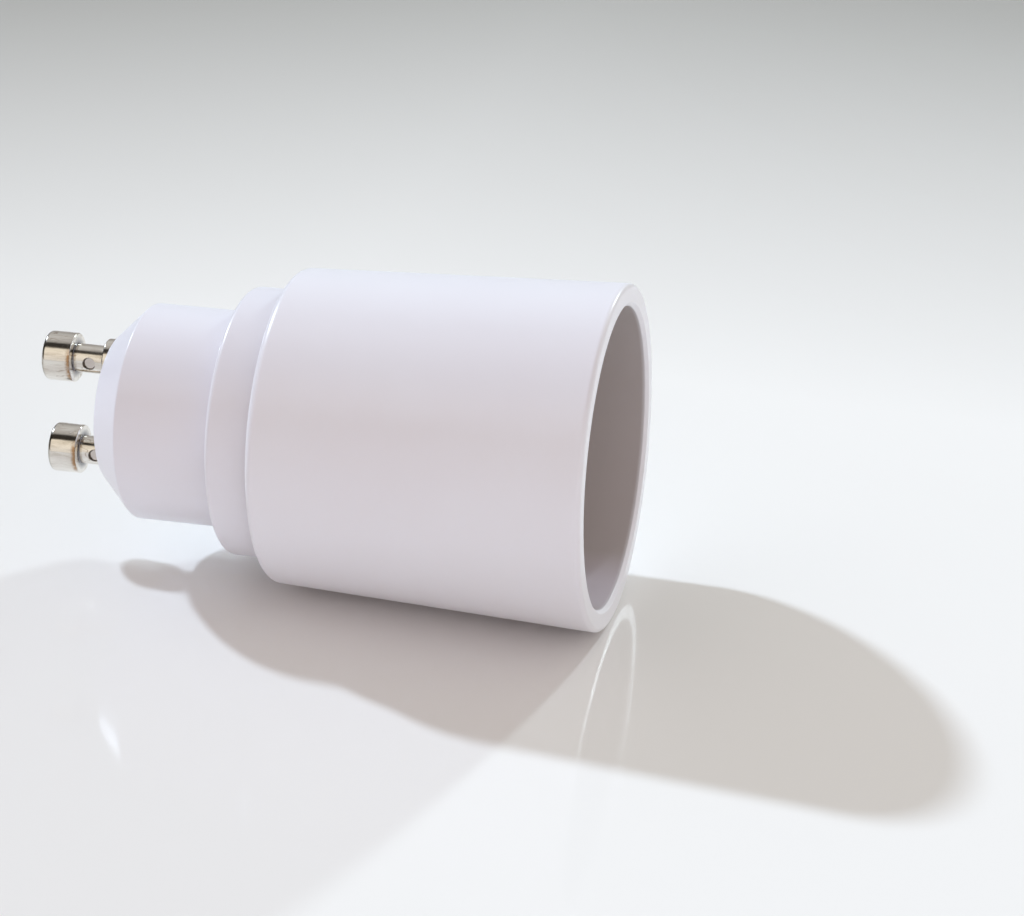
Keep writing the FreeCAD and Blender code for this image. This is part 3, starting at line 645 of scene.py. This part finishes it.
def flatBlank(loops, thickness, edge):
    # a sheet-metal blank: outline and holes, filled, with thickness and a broken edge
    curve = bpy.data.curves.new("blank", "CURVE")
    curve.dimensions, curve.fill_mode = "2D", "BOTH"
    curve.extrude, curve.offset = thickness / 2 - edge, -edge
    curve.bevel_depth, curve.bevel_resolution = edge, 2
    for loop in loops:
        spline = curve.splines.new("POLY")
        spline.points.add(len(loop) - 1)
        for point, spot in zip(spline.points, loop):
            point.co = (spot.x, spot.y, 0, 1)
        spline.use_cyclic_u = True
    holder = addObject("blank", curve)
    mesh = evaluated(holder)
    bpy.data.objects.remove(holder)
    work = bmesh.new()
    work.from_mesh(mesh)
    bmesh.ops.remove_doubles(work, verts=work.verts, dist=weldGap["blank"])
    return work


leaf = {
    "width": 5.0,
    "thickness": 0.4,
    "heel": -9.9,
    "footEnd": -6.0,
    "tipStart": -2.4,
    "tipEnd": 2.4,
    "footHeight": 27.7,
    "tipHeight": 25.1,
    "bend": 0.7,
    "tipCorner": 1.6,
    "heelCorner": 0.3,
    "edge": 0.05,
    "rivetY": -7.9,
    "rivetHole": 1.02,
    "buttonHole": 0.93,
    "cuts": 0.12,
    "beyond": 99,
}


def makeLeaf():
    # pressed flat, then bent: y is measured along the strip from the heel
    rise = leaf["footHeight"] - leaf["tipHeight"]
    run = leaf["tipStart"] - leaf["footEnd"]
    slope = math.atan2(rise, run)
    footStop = leaf["footEnd"] - leaf["heel"]
    tipStop = footStop + math.hypot(rise, run)
    end = tipStop + leaf["tipEnd"] - leaf["tipStart"]
    half = leaf["width"] / 2
    corner, heelCorner = leaf["tipCorner"], leaf["heelCorner"]
    loops = [
        blankLoop([(-half, 0, heelCorner), (half, 0, heelCorner), (half, end, corner), (-half, end, corner)]),
        roundLoop(0, leaf["rivetY"] - leaf["heel"], leaf["rivetHole"]),
        roundLoop(0, tipStop - leaf["tipStart"], leaf["buttonHole"]),
    ]
    work = flatBlank(loops, leaf["thickness"], leaf["edge"])
    place = leaf["cuts"]
    while place < end:
        geom = work.verts[:] + work.edges[:] + work.faces[:]
        bmesh.ops.bisect_plane(work, geom=geom, plane_co=(0, place, 0), plane_no=(0, 1, 0))
        place += leaf["cuts"]
    reach = leaf["bend"] * math.tan(slope / 2)
    runs = [
        (footStop - reach, 0), (2 * reach, -slope), (tipStop - footStop - 2 * reach, 0), (2 * reach, slope),
        (leaf["beyond"], 0)]
    for vert in work.verts:
        left, offset = vert.co.y, vert.co.z
        y, z, tilt = leaf["heel"], leaf["footHeight"], 0.0
        for length, change in runs:
            step = min(left, length)
            middle = tilt + change * step / length / 2
            y, z = y + step * math.cos(middle), z + step * math.sin(middle)
            tilt += change * step / length
            left -= step
            if left <= 0:
                break
        vert.co = Vector((vert.co.x, y - offset * math.sin(tilt), z + offset * math.cos(tilt)))
    piece = addPiece("contactLeaf", toMesh(work, "contactLeaf"), "spring_bronze", None, "contact_leaf")
    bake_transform(piece)


def treeStart(name, inputs):
    tree = bpy.data.node_groups.new(name, "GeometryNodeTree")
    sockets = {}
    tree.interface.new_socket("Geometry", in_out="OUTPUT", socket_type="NodeSocketGeometry")
    for label, (kind, value) in inputs.items():
        socket = tree.interface.new_socket(label, in_out="INPUT", socket_type=kind)
        sockets[label] = (socket.identifier, value)
    given = tree.nodes.new("NodeGroupInput").outputs
    return tree, given, tree.nodes.new("NodeGroupOutput"), sockets


def growMesh(name, tree, sockets, finish):
    # runs the tree on an empty mesh and returns the plain result
    holder = addObject(name, bpy.data.meshes.new(name))
    grower = holder.modifiers.new(name, "NODES")
    grower.node_group = tree
    sockets["Finish"] = (sockets["Finish"][0], finishes[finish])
    for identifier, value in sockets.values():
        grower[identifier] = value
    holder.update_tag()
    mesh = evaluated(holder)
    bpy.data.objects.remove(holder)
    return mesh


def wrapGrid(tree, out, columns, rows, radius, height, angle, material):
    # a grid whose points are given by radius, height and angle, welded where it meets itself
    nodes, links = tree.nodes, tree.links
    grid = nodes.new("GeometryNodeMeshGrid")
    links.new(columns, grid.inputs["Vertices X"])
    links.new(rows, grid.inputs["Vertices Y"])
    spot = nodes.new("ShaderNodeCombineXYZ")
    for axis, operation in (("X", "COSINE"), ("Y", "SINE")):
        links.new(maths(tree, "MULTIPLY", radius, maths(tree, operation, angle)), spot.inputs[axis])
    links.new(height, spot.inputs["Z"])
    move = nodes.new("GeometryNodeSetPosition")
    links.new(grid.outputs["Mesh"], move.inputs["Geometry"])
    links.new(spot.outputs["Vector"], move.inputs["Position"])
    weld = nodes.new("GeometryNodeMergeByDistance")
    weld.inputs["Distance"].default_value = weldGap["grid"]
    links.new(move.outputs["Geometry"], weld.inputs["Geometry"])
    real = nodes.new("GeometryNodeRealizeInstances")
    links.new(weld.outputs["Geometry"], real.inputs["Geometry"])
    paint = nodes.new("GeometryNodeSetMaterial")
    links.new(real.outputs["Geometry"], paint.inputs["Geometry"])
    links.new(material, paint.inputs["Material"])
    links.new(paint.outputs["Geometry"], out.inputs["Geometry"])


def gridPlace(tree, rows):
    # column and row number of each grid point
    do = functools.partial(maths, tree)
    index = tree.nodes.new("GeometryNodeInputIndex").outputs["Index"]
    column = do("FLOOR", do("DIVIDE", do("ADD", index, 0.5), rows))
    row = do("SUBTRACT", index, do("MULTIPLY", column, rows))
    return column, row


shell = {
    "Mesh Sides": ("NodeSocketInt", 192),
    "Wall Rows": ("NodeSocketInt", 118),
    "Bend Rows": ("NodeSocketInt", 6),
    "Pitch": ("NodeSocketFloat", 3.629),
    "Root Radius": ("NodeSocketFloat", 13.35),
    "Thread Depth": ("NodeSocketFloat", 1.1),
    "Sheet": ("NodeSocketFloat", 0.35),
    "Mouth Height": ("NodeSocketFloat", 7.2),
    "Wall End": ("NodeSocketFloat", 27.35),
    "Thread End": ("NodeSocketFloat", 24.2),
    "Foot Radius": ("NodeSocketFloat", 12.6),
    "Bend": ("NodeSocketFloat", 0.2),
    "Flange": ("NodeSocketFloat", 0.01),
    "Finish": ("NodeSocketMaterial", None),
}
flange = {
    "sheet": 0.35,
    "inner": 11.4,
    "outer": 12.42,
    "outerCount": 128,
    "middle": 27.725,
    "earAngle": 45,
    "earPlace": 8.4,
    "earRadius": 2.4,
    "earSteps": 24,
    "innerSteps": 30,
    "hole": 1.02,
    "edge": 0.04,
}


def shellTree():
    tree, given, out, sockets = treeStart("screwShell", shell)
    do = functools.partial(maths, tree)

    def hold(value):
        return do("MINIMUM", do("MAXIMUM", value, 0), 1)

    def ease(value):
        held = hold(value)
        return do("MULTIPLY", do("MULTIPLY", held, held), do("SUBTRACT", 3, do("MULTIPLY", held, 2)))

    def blendTo(share, first, second):
        return do("ADD", do("MULTIPLY", first, do("SUBTRACT", 1, share)), do("MULTIPLY", second, share))

    # rows run up the outer skin, down the inner one, and end on the first row again
    skinRows = do("ADD", do("ADD", given["Wall Rows"], given["Bend Rows"]), 1)
    rows = do("ADD", do("MULTIPLY", skinRows, 2), 1)
    columns = do("ADD", given["Mesh Sides"], 1)
    column, row = gridPlace(tree, rows)
    angle = do("DIVIDE", do("MULTIPLY", column, 2 * math.pi), given["Mesh Sides"])
    beforeLast = do("LESS_THAN", row, do("SUBTRACT", rows, 1.5))
    inner = do("MULTIPLY", do("GREATER_THAN", row, do("SUBTRACT", skinRows, 0.5)), beforeLast)
    rowDown = do("SUBTRACT", do("SUBTRACT", do("MULTIPLY", skinRows, 2), 1), row)
    rowUp = do("MULTIPLY", row, beforeLast)
    onRow = do("ADD", do("MULTIPLY", inner, rowDown), do("MULTIPLY", do("SUBTRACT", 1, inner), rowUp))
    skin = do("MULTIPLY", given["Sheet"], do("SUBTRACT", 1, inner))
    wallLast = do("SUBTRACT", given["Wall Rows"], 1)
    wallShare = do("MINIMUM", do("DIVIDE", onRow, wallLast), 1)
    wallHeight = do("SUBTRACT", given["Wall End"], given["Mouth Height"])
    z = do("ADD", given["Mouth Height"], do("MULTIPLY", wallShare, wallHeight))
    # rolled thread: two tangent arcs for each half pitch, right-handed
    quarter = do("DIVIDE", given["Pitch"], 4)
    depth = given["Thread Depth"]
    squares = do("ADD", do("MULTIPLY", quarter, quarter), do("DIVIDE", do("MULTIPLY", depth, depth), 4))
    arc = do("DIVIDE", squares, depth)
    phase = do("SUBTRACT", z, do("DIVIDE", do("MULTIPLY", given["Pitch"], angle), 2 * math.pi))
    turns = do("DIVIDE", phase, given["Pitch"])
    u = do("MULTIPLY", do("ABSOLUTE", do("SUBTRACT", turns, do("ROUND", turns))), given["Pitch"])
    beyond = do("SUBTRACT", do("MULTIPLY", quarter, 2), u)

    def arcPart(radius, along):
        left = do("SUBTRACT", do("MULTIPLY", radius, radius), do("MULTIPLY", along, along))
        return do("SQRT", do("MAXIMUM", left, 0))

    rootArc, crestArc = do("ADD", arc, skin), do("SUBTRACT", arc, skin)
    rootRadius = do("ADD", do("SUBTRACT", given["Root Radius"], arc), arcPart(rootArc, u))
    crestMiddle = do("ADD", do("SUBTRACT", given["Root Radius"], depth), arc)
    crestRadius = do("SUBTRACT", crestMiddle, arcPart(crestArc, beyond))
    onCrest = do("GREATER_THAN", u, do("DIVIDE", do("MULTIPLY", quarter, rootArc), arc))
    thread = blendTo(onCrest, rootRadius, crestRadius)
    # the wall is plain at its mouth and at its foot
    fromMouth = ease(do("DIVIDE", do("SUBTRACT", z, given["Mouth Height"]), given["Pitch"]))
    halfPitch = do("DIVIDE", given["Pitch"], 2)
    toFoot = ease(do("DIVIDE", do("SUBTRACT", z, do("SUBTRACT", given["Thread End"], halfPitch)), halfPitch))
    wall = blendTo(fromMouth, do("ADD", given["Root Radius"], skin), thread)
    wall = blendTo(toFoot, wall, do("ADD", given["Foot Radius"], skin))
    # the foot turns inwards to the flange
    bendShare = hold(do("DIVIDE", do("SUBTRACT", onRow, wallLast), given["Bend Rows"]))
    turned = do("MULTIPLY", bendShare, math.pi / 2)
    bend = do("ADD", given["Bend"], skin)
    flangeRow = do("MAXIMUM", do("SUBTRACT", onRow, do("ADD", wallLast, given["Bend Rows"])), 0)
    drawnIn = do("MULTIPLY", bend, do("SUBTRACT", 1, do("COSINE", turned)))
    radius = do("SUBTRACT", do("SUBTRACT", wall, drawnIn), do("MULTIPLY", flangeRow, given["Flange"]))
    height = do("ADD", z, do("MULTIPLY", bend, do("SINE", turned)))
    wrapGrid(tree, out, columns, rows, radius, height, angle, given["Finish"])
    return tree, sockets


def makeShell():
    wall = growMesh("screwShell", *shellTree(), "nickel_shell")
    # the ears that the rivets hold
    inner = []
    holes = []
    gapAngle = math.asin(flange["earRadius"] / flange["inner"])
    for half in (0, math.pi):
        start = math.radians(flange["earAngle"]) + half
        for step in range(flange["innerSteps"] + 1):
            a = start + gapAngle + (math.pi - 2 * gapAngle) * step / flange["innerSteps"]
            inner.append(onCircle(a, flange["inner"]))
        middle = start + math.pi
        centre = onCircle(middle, 1) * flange["earPlace"]
        for step in range(flange["earSteps"] + 1):
            a = middle - math.pi / 2 - math.pi * step / flange["earSteps"]
            inner.append(centre + onCircle(a, 1) * flange["earRadius"])
        holeX, holeY = flange["earPlace"] * math.cos(start), flange["earPlace"] * math.sin(start)
        holes.append(roundLoop(holeX, holeY, flange["hole"]))
    loops = [roundLoop(0, 0, flange["outer"], flange["outerCount"]), inner] + holes
    work = flatBlank(loops, flange["sheet"], flange["edge"])
    bmesh.ops.translate(work, verts=work.verts, vec=(0, 0, flange["middle"]))
    ears = toMesh(work, "shellEars")
    work = bmesh.new()
    work.from_mesh(wall)
    bmesh.ops.scale(work, verts=work.verts, vec=(mm, mm, mm))
    work.from_mesh(ears)
    bmesh.ops.recalc_face_normals(work, faces=work.faces)
    for face in work.faces:
        face.smooth = True
    addPiece("screwShell", plainMesh(work, "screwShell"), "nickel_shell", "adapter", "screw_shell")


screw = {
    "head": [
        (0, 26.3, 0), (1.7, 26.3, 0.2), (2.5, 27.1, 0.15), (2.5, 27.9, 0.06), (1.2, 27.9, 0),
        (1.2, 28.1, 0), (0, 28.1, 0),
    ],
    "sides": 96,
    "crossHalfLength": 1.4,
    "crossHalfWidth": 0.35,
    "crossTop": 26.0,
    "crossFloor": 27.2,
    "sharp": 30,
    "places": {"caseScrewA": (8.3, "case_screw_a", 12), "caseScrewB": (-8.3, "case_screw_b", 57)},
}
screwThread = {
    "Mesh Sides": ("NodeSocketInt", 28),
    "Rows": ("NodeSocketInt", 190),
    "Pitch": ("NodeSocketFloat", 0.95),
    "Core Radius": ("NodeSocketFloat", 0.88),
    "Outer Radius": ("NodeSocketFloat", 1.2),
    "Start": ("NodeSocketFloat", 28.0),
    "Tip": ("NodeSocketFloat", 40.9),
    "Tip Length": ("NodeSocketFloat", 2.4),
    "Ridge Sharpness": ("NodeSocketFloat", 3.2),
    "Finish": ("NodeSocketMaterial", None),
}


def threadTree():
    tree, given, out, sockets = treeStart("screwThread", screwThread)
    do = functools.partial(maths, tree)
    rows = do("ADD", given["Rows"], 2)
    column, row = gridPlace(tree, rows)
    angle = do("DIVIDE", do("MULTIPLY", column, 2 * math.pi), given["Mesh Sides"])
    share = do("DIVIDE", do("SUBTRACT", row, 1), do("SUBTRACT", given["Rows"], 1))
    share = do("MINIMUM", do("MAXIMUM", share, 0), 1)
    z = do("ADD", given["Start"], do("MULTIPLY", share, do("SUBTRACT", given["Tip"], given["Start"])))
    turns = do("SUBTRACT", do("DIVIDE", z, given["Pitch"]), do("DIVIDE", angle, 2 * math.pi))
    off = do("ABSOLUTE", do("SUBTRACT", turns, do("ROUND", turns)))
    ridge = do("MAXIMUM", do("SUBTRACT", 1, do("MULTIPLY", off, given["Ridge Sharpness"])), 0)
    depth = do("SUBTRACT", given["Outer Radius"], given["Core Radius"])
    full = do("ADD", given["Core Radius"], do("MULTIPLY", ridge, depth))
    taper = do("MINIMUM", do("DIVIDE", do("SUBTRACT", given["Tip"], z), given["Tip Length"]), 1)
    # the first and last rows close the ends on the axis
    body = do("MULTIPLY", do("GREATER_THAN", row, 0.5), do("LESS_THAN", row, do("SUBTRACT", rows, 1.5)))
    radius = do("MULTIPLY", do("MULTIPLY", full, taper), body)
    columns = do("ADD", given["Mesh Sides"], 1)
    wrapGrid(tree, out, columns, rows, radius, z, angle, given["Finish"])
    return tree, sockets


def makeScrews():
    thread = growMesh("screwThread", *threadTree(), "zinc_steel")
    long, short = screw["crossHalfLength"], screw["crossHalfWidth"]
    for name, (x, node, turnedBy) in screw["places"].items():
        work = bmesh.new()
        turn(work, outline(screw["head"]), screw["sides"])
        head = toMesh(work, "head")
        for a, b in ((long, short), (short, long)):
            work = bmesh.new()
            addBox(work, (-a, -b, screw["crossTop"]), (a, b, screw["crossFloor"]))
            head = carve(head, toMesh(work, "slot"))
        work = bmesh.new()
        work.from_mesh(head)
        bmesh.ops.scale(work, verts=work.verts, vec=(1 / mm, 1 / mm, 1 / mm))
        work.from_mesh(thread)
        spin = Matrix.Rotation(math.radians(turnedBy), 3, "Z")
        bmesh.ops.rotate(work, verts=work.verts, cent=(0, 0, 0), matrix=spin)
        bmesh.ops.translate(work, verts=work.verts, vec=(x, 0, 0))
        addPiece(name, toMesh(work, name, screw["sharp"]), "zinc_steel", "adapter", node)


makeBarrel()
makeBase()
makePins()
print("housings and pins made")
makeShell()
makeLeaf()
makeButton()
makeScrews()
print("socket parts made")

camera = {
    "place": (-0.2643, -0.1247, -0.0545),
    "forward": (0.8815, 0.4196, 0.2167),
    "up": (0.4075, -0.9077, 0.1002),
    "lens": 108.6,
    "sensor": 36,
    "clip": (0.01, 20),
}
eye = addObject("eye", bpy.data.cameras.new("eye"))
forward = Vector(camera["forward"]).normalized()
right = forward.cross(Vector(camera["up"])).normalized()
upward = right.cross(forward)
turned = Matrix((right, upward, -forward)).transposed().to_4x4()
eye.matrix_world = Matrix.Translation(camera["place"]) @ turned
eye.data.lens, eye.data.sensor_width = camera["lens"], camera["sensor"]
eye.data.clip_start, eye.data.clip_end = camera["clip"]
bpy.context.scene.camera = eye

table = {
    "touch": (0, 0.0169, 0),
    "normal": (0, -32.7, -1.35),
    "clear": 0.25,
    "reach": 0.9,
    "fadeCentre": (0, 0.0169, 0.02),
    "fade": (0.25, 0.85),
    "roughness": 0.07,
    "unseenRoughness": 0.7,
    "shine": 0.2,
    "colour": (0.862, 0.852, 0.83, 1),
    "farColour": (0.33, 0.327, 0.305, 1),
    "dim": (0.058, 0.24),
    "side": (0.05, 0.13),
    "sideDim": 0.24,
}


def tableMesh():
    mesh = bpy.data.meshes.new("table")
    normal = Vector(table["normal"]).normalized()
    along = Vector((1, 0, 0)) * table["reach"]
    across = normal.cross(Vector((1, 0, 0))) * table["reach"]
    centre = Vector(table["touch"]) - normal * table["clear"] * mm
    corners = [centre + along * a + across * b for a, b in ((-1, -1), (1, -1), (1, 1), (-1, 1))]
    mesh.from_pydata([tuple(c) for c in corners], [], [(0, 1, 2, 3)])
    if mesh.polygons[0].normal.dot(normal) < 0:
        mesh.flip_normals()
    return mesh


def makeTable():
    obj = addObject("table", tableMesh())
    material, tree, shader = newMaterial("tableTop")
    nodes, links = tree.nodes, tree.links
    seen = nodes.new("ShaderNodeLightPath").outputs["Is Camera Ray"]
    roughness = spread(tree, seen, 0, 1, table["unseenRoughness"], table["roughness"])
    links.new(roughness, shader.inputs["Roughness"])
    shader.inputs["Specular IOR Level"].default_value = table["shine"]
    # the top falls into the dark behind the part and beyond its pins
    geometry = nodes.new("ShaderNodeNewGeometry")
    x, _, z = axes(tree, geometry.outputs["Position"])
    behind = spread(tree, x, *table["dim"])
    beside = spread(tree, z, *table["side"], 0, table["sideDim"])
    dim = maths(tree, "MINIMUM", maths(tree, "ADD", behind, beside), 1)
    links.new(mixColour(tree, dim, table["colour"], table["farColour"]), shader.inputs["Base Color"])
    # it is clear from below, and fades out far away
    gap = nodes.new("ShaderNodeVectorMath")
    gap.operation = "DISTANCE"
    links.new(geometry.outputs["Position"], gap.inputs[0])
    gap.inputs[1].default_value = table["fadeCentre"]
    far = spread(tree, gap.outputs["Value"], *table["fade"])
    hidden = maths(tree, "MAXIMUM", geometry.outputs["Backfacing"], far)
    clear = nodes.new("ShaderNodeBsdfTransparent")
    surface = joinShaders(tree, hidden, shader, clear)
    links.new(surface.outputs[0], nodes["Material Output"].inputs["Surface"])
    obj.data.materials.append(material)


makeTable()

world = {
    "above": 0.55,
    "front": 0.3,
    "left": -0.16,
    "least": 0.05,
    "colour": (1.0, 0.95, 0.89, 1),
    "frontColour": (1.0, 0.855, 0.865, 1),
    "backdrop": (0.56, 0.56, 0.555, 1),
    "mirrored": [
        (0.0, (0.70, 0.68, 0.66, 1)), (0.5, (0.84, 0.79, 0.73, 1)), (0.58, (1.0, 0.92, 0.80, 1)),
        (0.652, (0.96, 0.87, 0.73, 1)), (0.667, (0.03, 0.025, 0.02, 1)), (0.728, (0.04, 0.035, 0.03, 1)),
        (0.748, (0.5, 0.48, 0.46, 1)), (0.85, (0.66, 0.65, 0.64, 1)), (0.95, (0.42, 0.41, 0.40, 1)),
        (1.0, (0.42, 0.41, 0.40, 1)),
    ],
    "mirrorSide": (0.45, 0.7),
    "mirrorDim": 0.12,
}


def makeWorld():
    sky = bpy.data.worlds.new("studio")
    bpy.context.scene.world = sky
    sky.use_nodes = True
    tree = sky.node_tree
    nodes, links = tree.nodes, tree.links
    do = functools.partial(maths, tree)
    coord = nodes.new("ShaderNodeTexCoord")
    x, y, z = axes(tree, coord.outputs["Generated"])
    near, up = do("MULTIPLY", x, -1.0), do("MULTIPLY", y, -1.0)
    # the fill is stronger in front of the part and weaker on the side of its pins
    lit = nodes["Background"]
    inFront = do("MAXIMUM", near, 0.0)
    links.new(mixColour(tree, inFront, world["colour"], world["frontColour"]), lit.inputs["Color"])
    fill = do("ADD", do("MULTIPLY", inFront, world["front"]), world["above"])
    fill = do("ADD", fill, do("MULTIPLY", z, world["left"]))
    links.new(do("MAXIMUM", fill, world["least"]), lit.inputs["Strength"])
    # shiny pieces mirror a ramp of panels that runs round the part, darker beyond the pins
    around = spread(tree, do("ARCTAN2", up, near), -math.pi, math.pi)
    ramp = nodes.new("ShaderNodeValToRGB")
    while len(ramp.color_ramp.elements) < len(world["mirrored"]):
        ramp.color_ramp.elements.new(0.5)
    for element, (place, colour) in zip(ramp.color_ramp.elements, world["mirrored"]):
        element.position, element.color = place, colour
    links.new(around, ramp.inputs[0])
    panels = nodes.new("ShaderNodeBackground")
    links.new(ramp.outputs[0], panels.inputs["Color"])
    links.new(spread(tree, z, *world["mirrorSide"], 1, world["mirrorDim"]), panels.inputs["Strength"])
    plain = nodes.new("ShaderNodeBackground")
    plain.inputs["Color"].default_value = world["backdrop"]
    path = nodes.new("ShaderNodeLightPath").outputs
    gloss = joinShaders(tree, path["Is Glossy Ray"], lit, panels)
    straight = do("MAXIMUM", path["Is Camera Ray"], path["Is Transmission Ray"])
    surface = joinShaders(tree, straight, gloss, plain)
    links.new(surface.outputs[0], nodes["World Output"].inputs["Surface"])


makeWorld()

sideLamp = {"toLight": (0.575, -1, 1.05), "energy": 2.34, "angle": 3.4, "colour": (0.722, 0.848, 1.0)}
lowLamp = {"place": (0.256, -0.135, -0.0928), "energy": 12, "radius": 0.013, "colour": (0.80, 0.94, 1.0)}


def addLamp(name, kind, given):
    lamp = bpy.data.lights.new(name, kind)
    lamp.energy, lamp.color = given["energy"], given["colour"]
    return lamp, addObject(name, lamp)


def makeLamps():
    lamp, obj = addLamp("sideLamp", "SUN", sideLamp)
    lamp.angle = math.radians(sideLamp["angle"])
    obj.rotation_mode = "QUATERNION"
    obj.rotation_quaternion = Vector(sideLamp["toLight"]).to_track_quat("Z", "Y")
    # a small lamp low behind the mouth, just as strong near and far
    lamp, obj = addLamp("lowLamp", "POINT", lowLamp)
    lamp.shadow_soft_size = lowLamp["radius"]
    lamp.use_nodes = True
    nodes, links = lamp.node_tree.nodes, lamp.node_tree.links
    falloff = nodes.new("ShaderNodeLightFalloff")
    falloff.inputs["Strength"].default_value = 1.0
    links.new(falloff.outputs["Constant"], nodes["Emission"].inputs["Strength"])
    obj.location = lowLamp["place"]
    obj.visible_camera = False


makeLamps()
bpy.context.scene.view_settings.view_transform = "Standard"
print("stage lit")
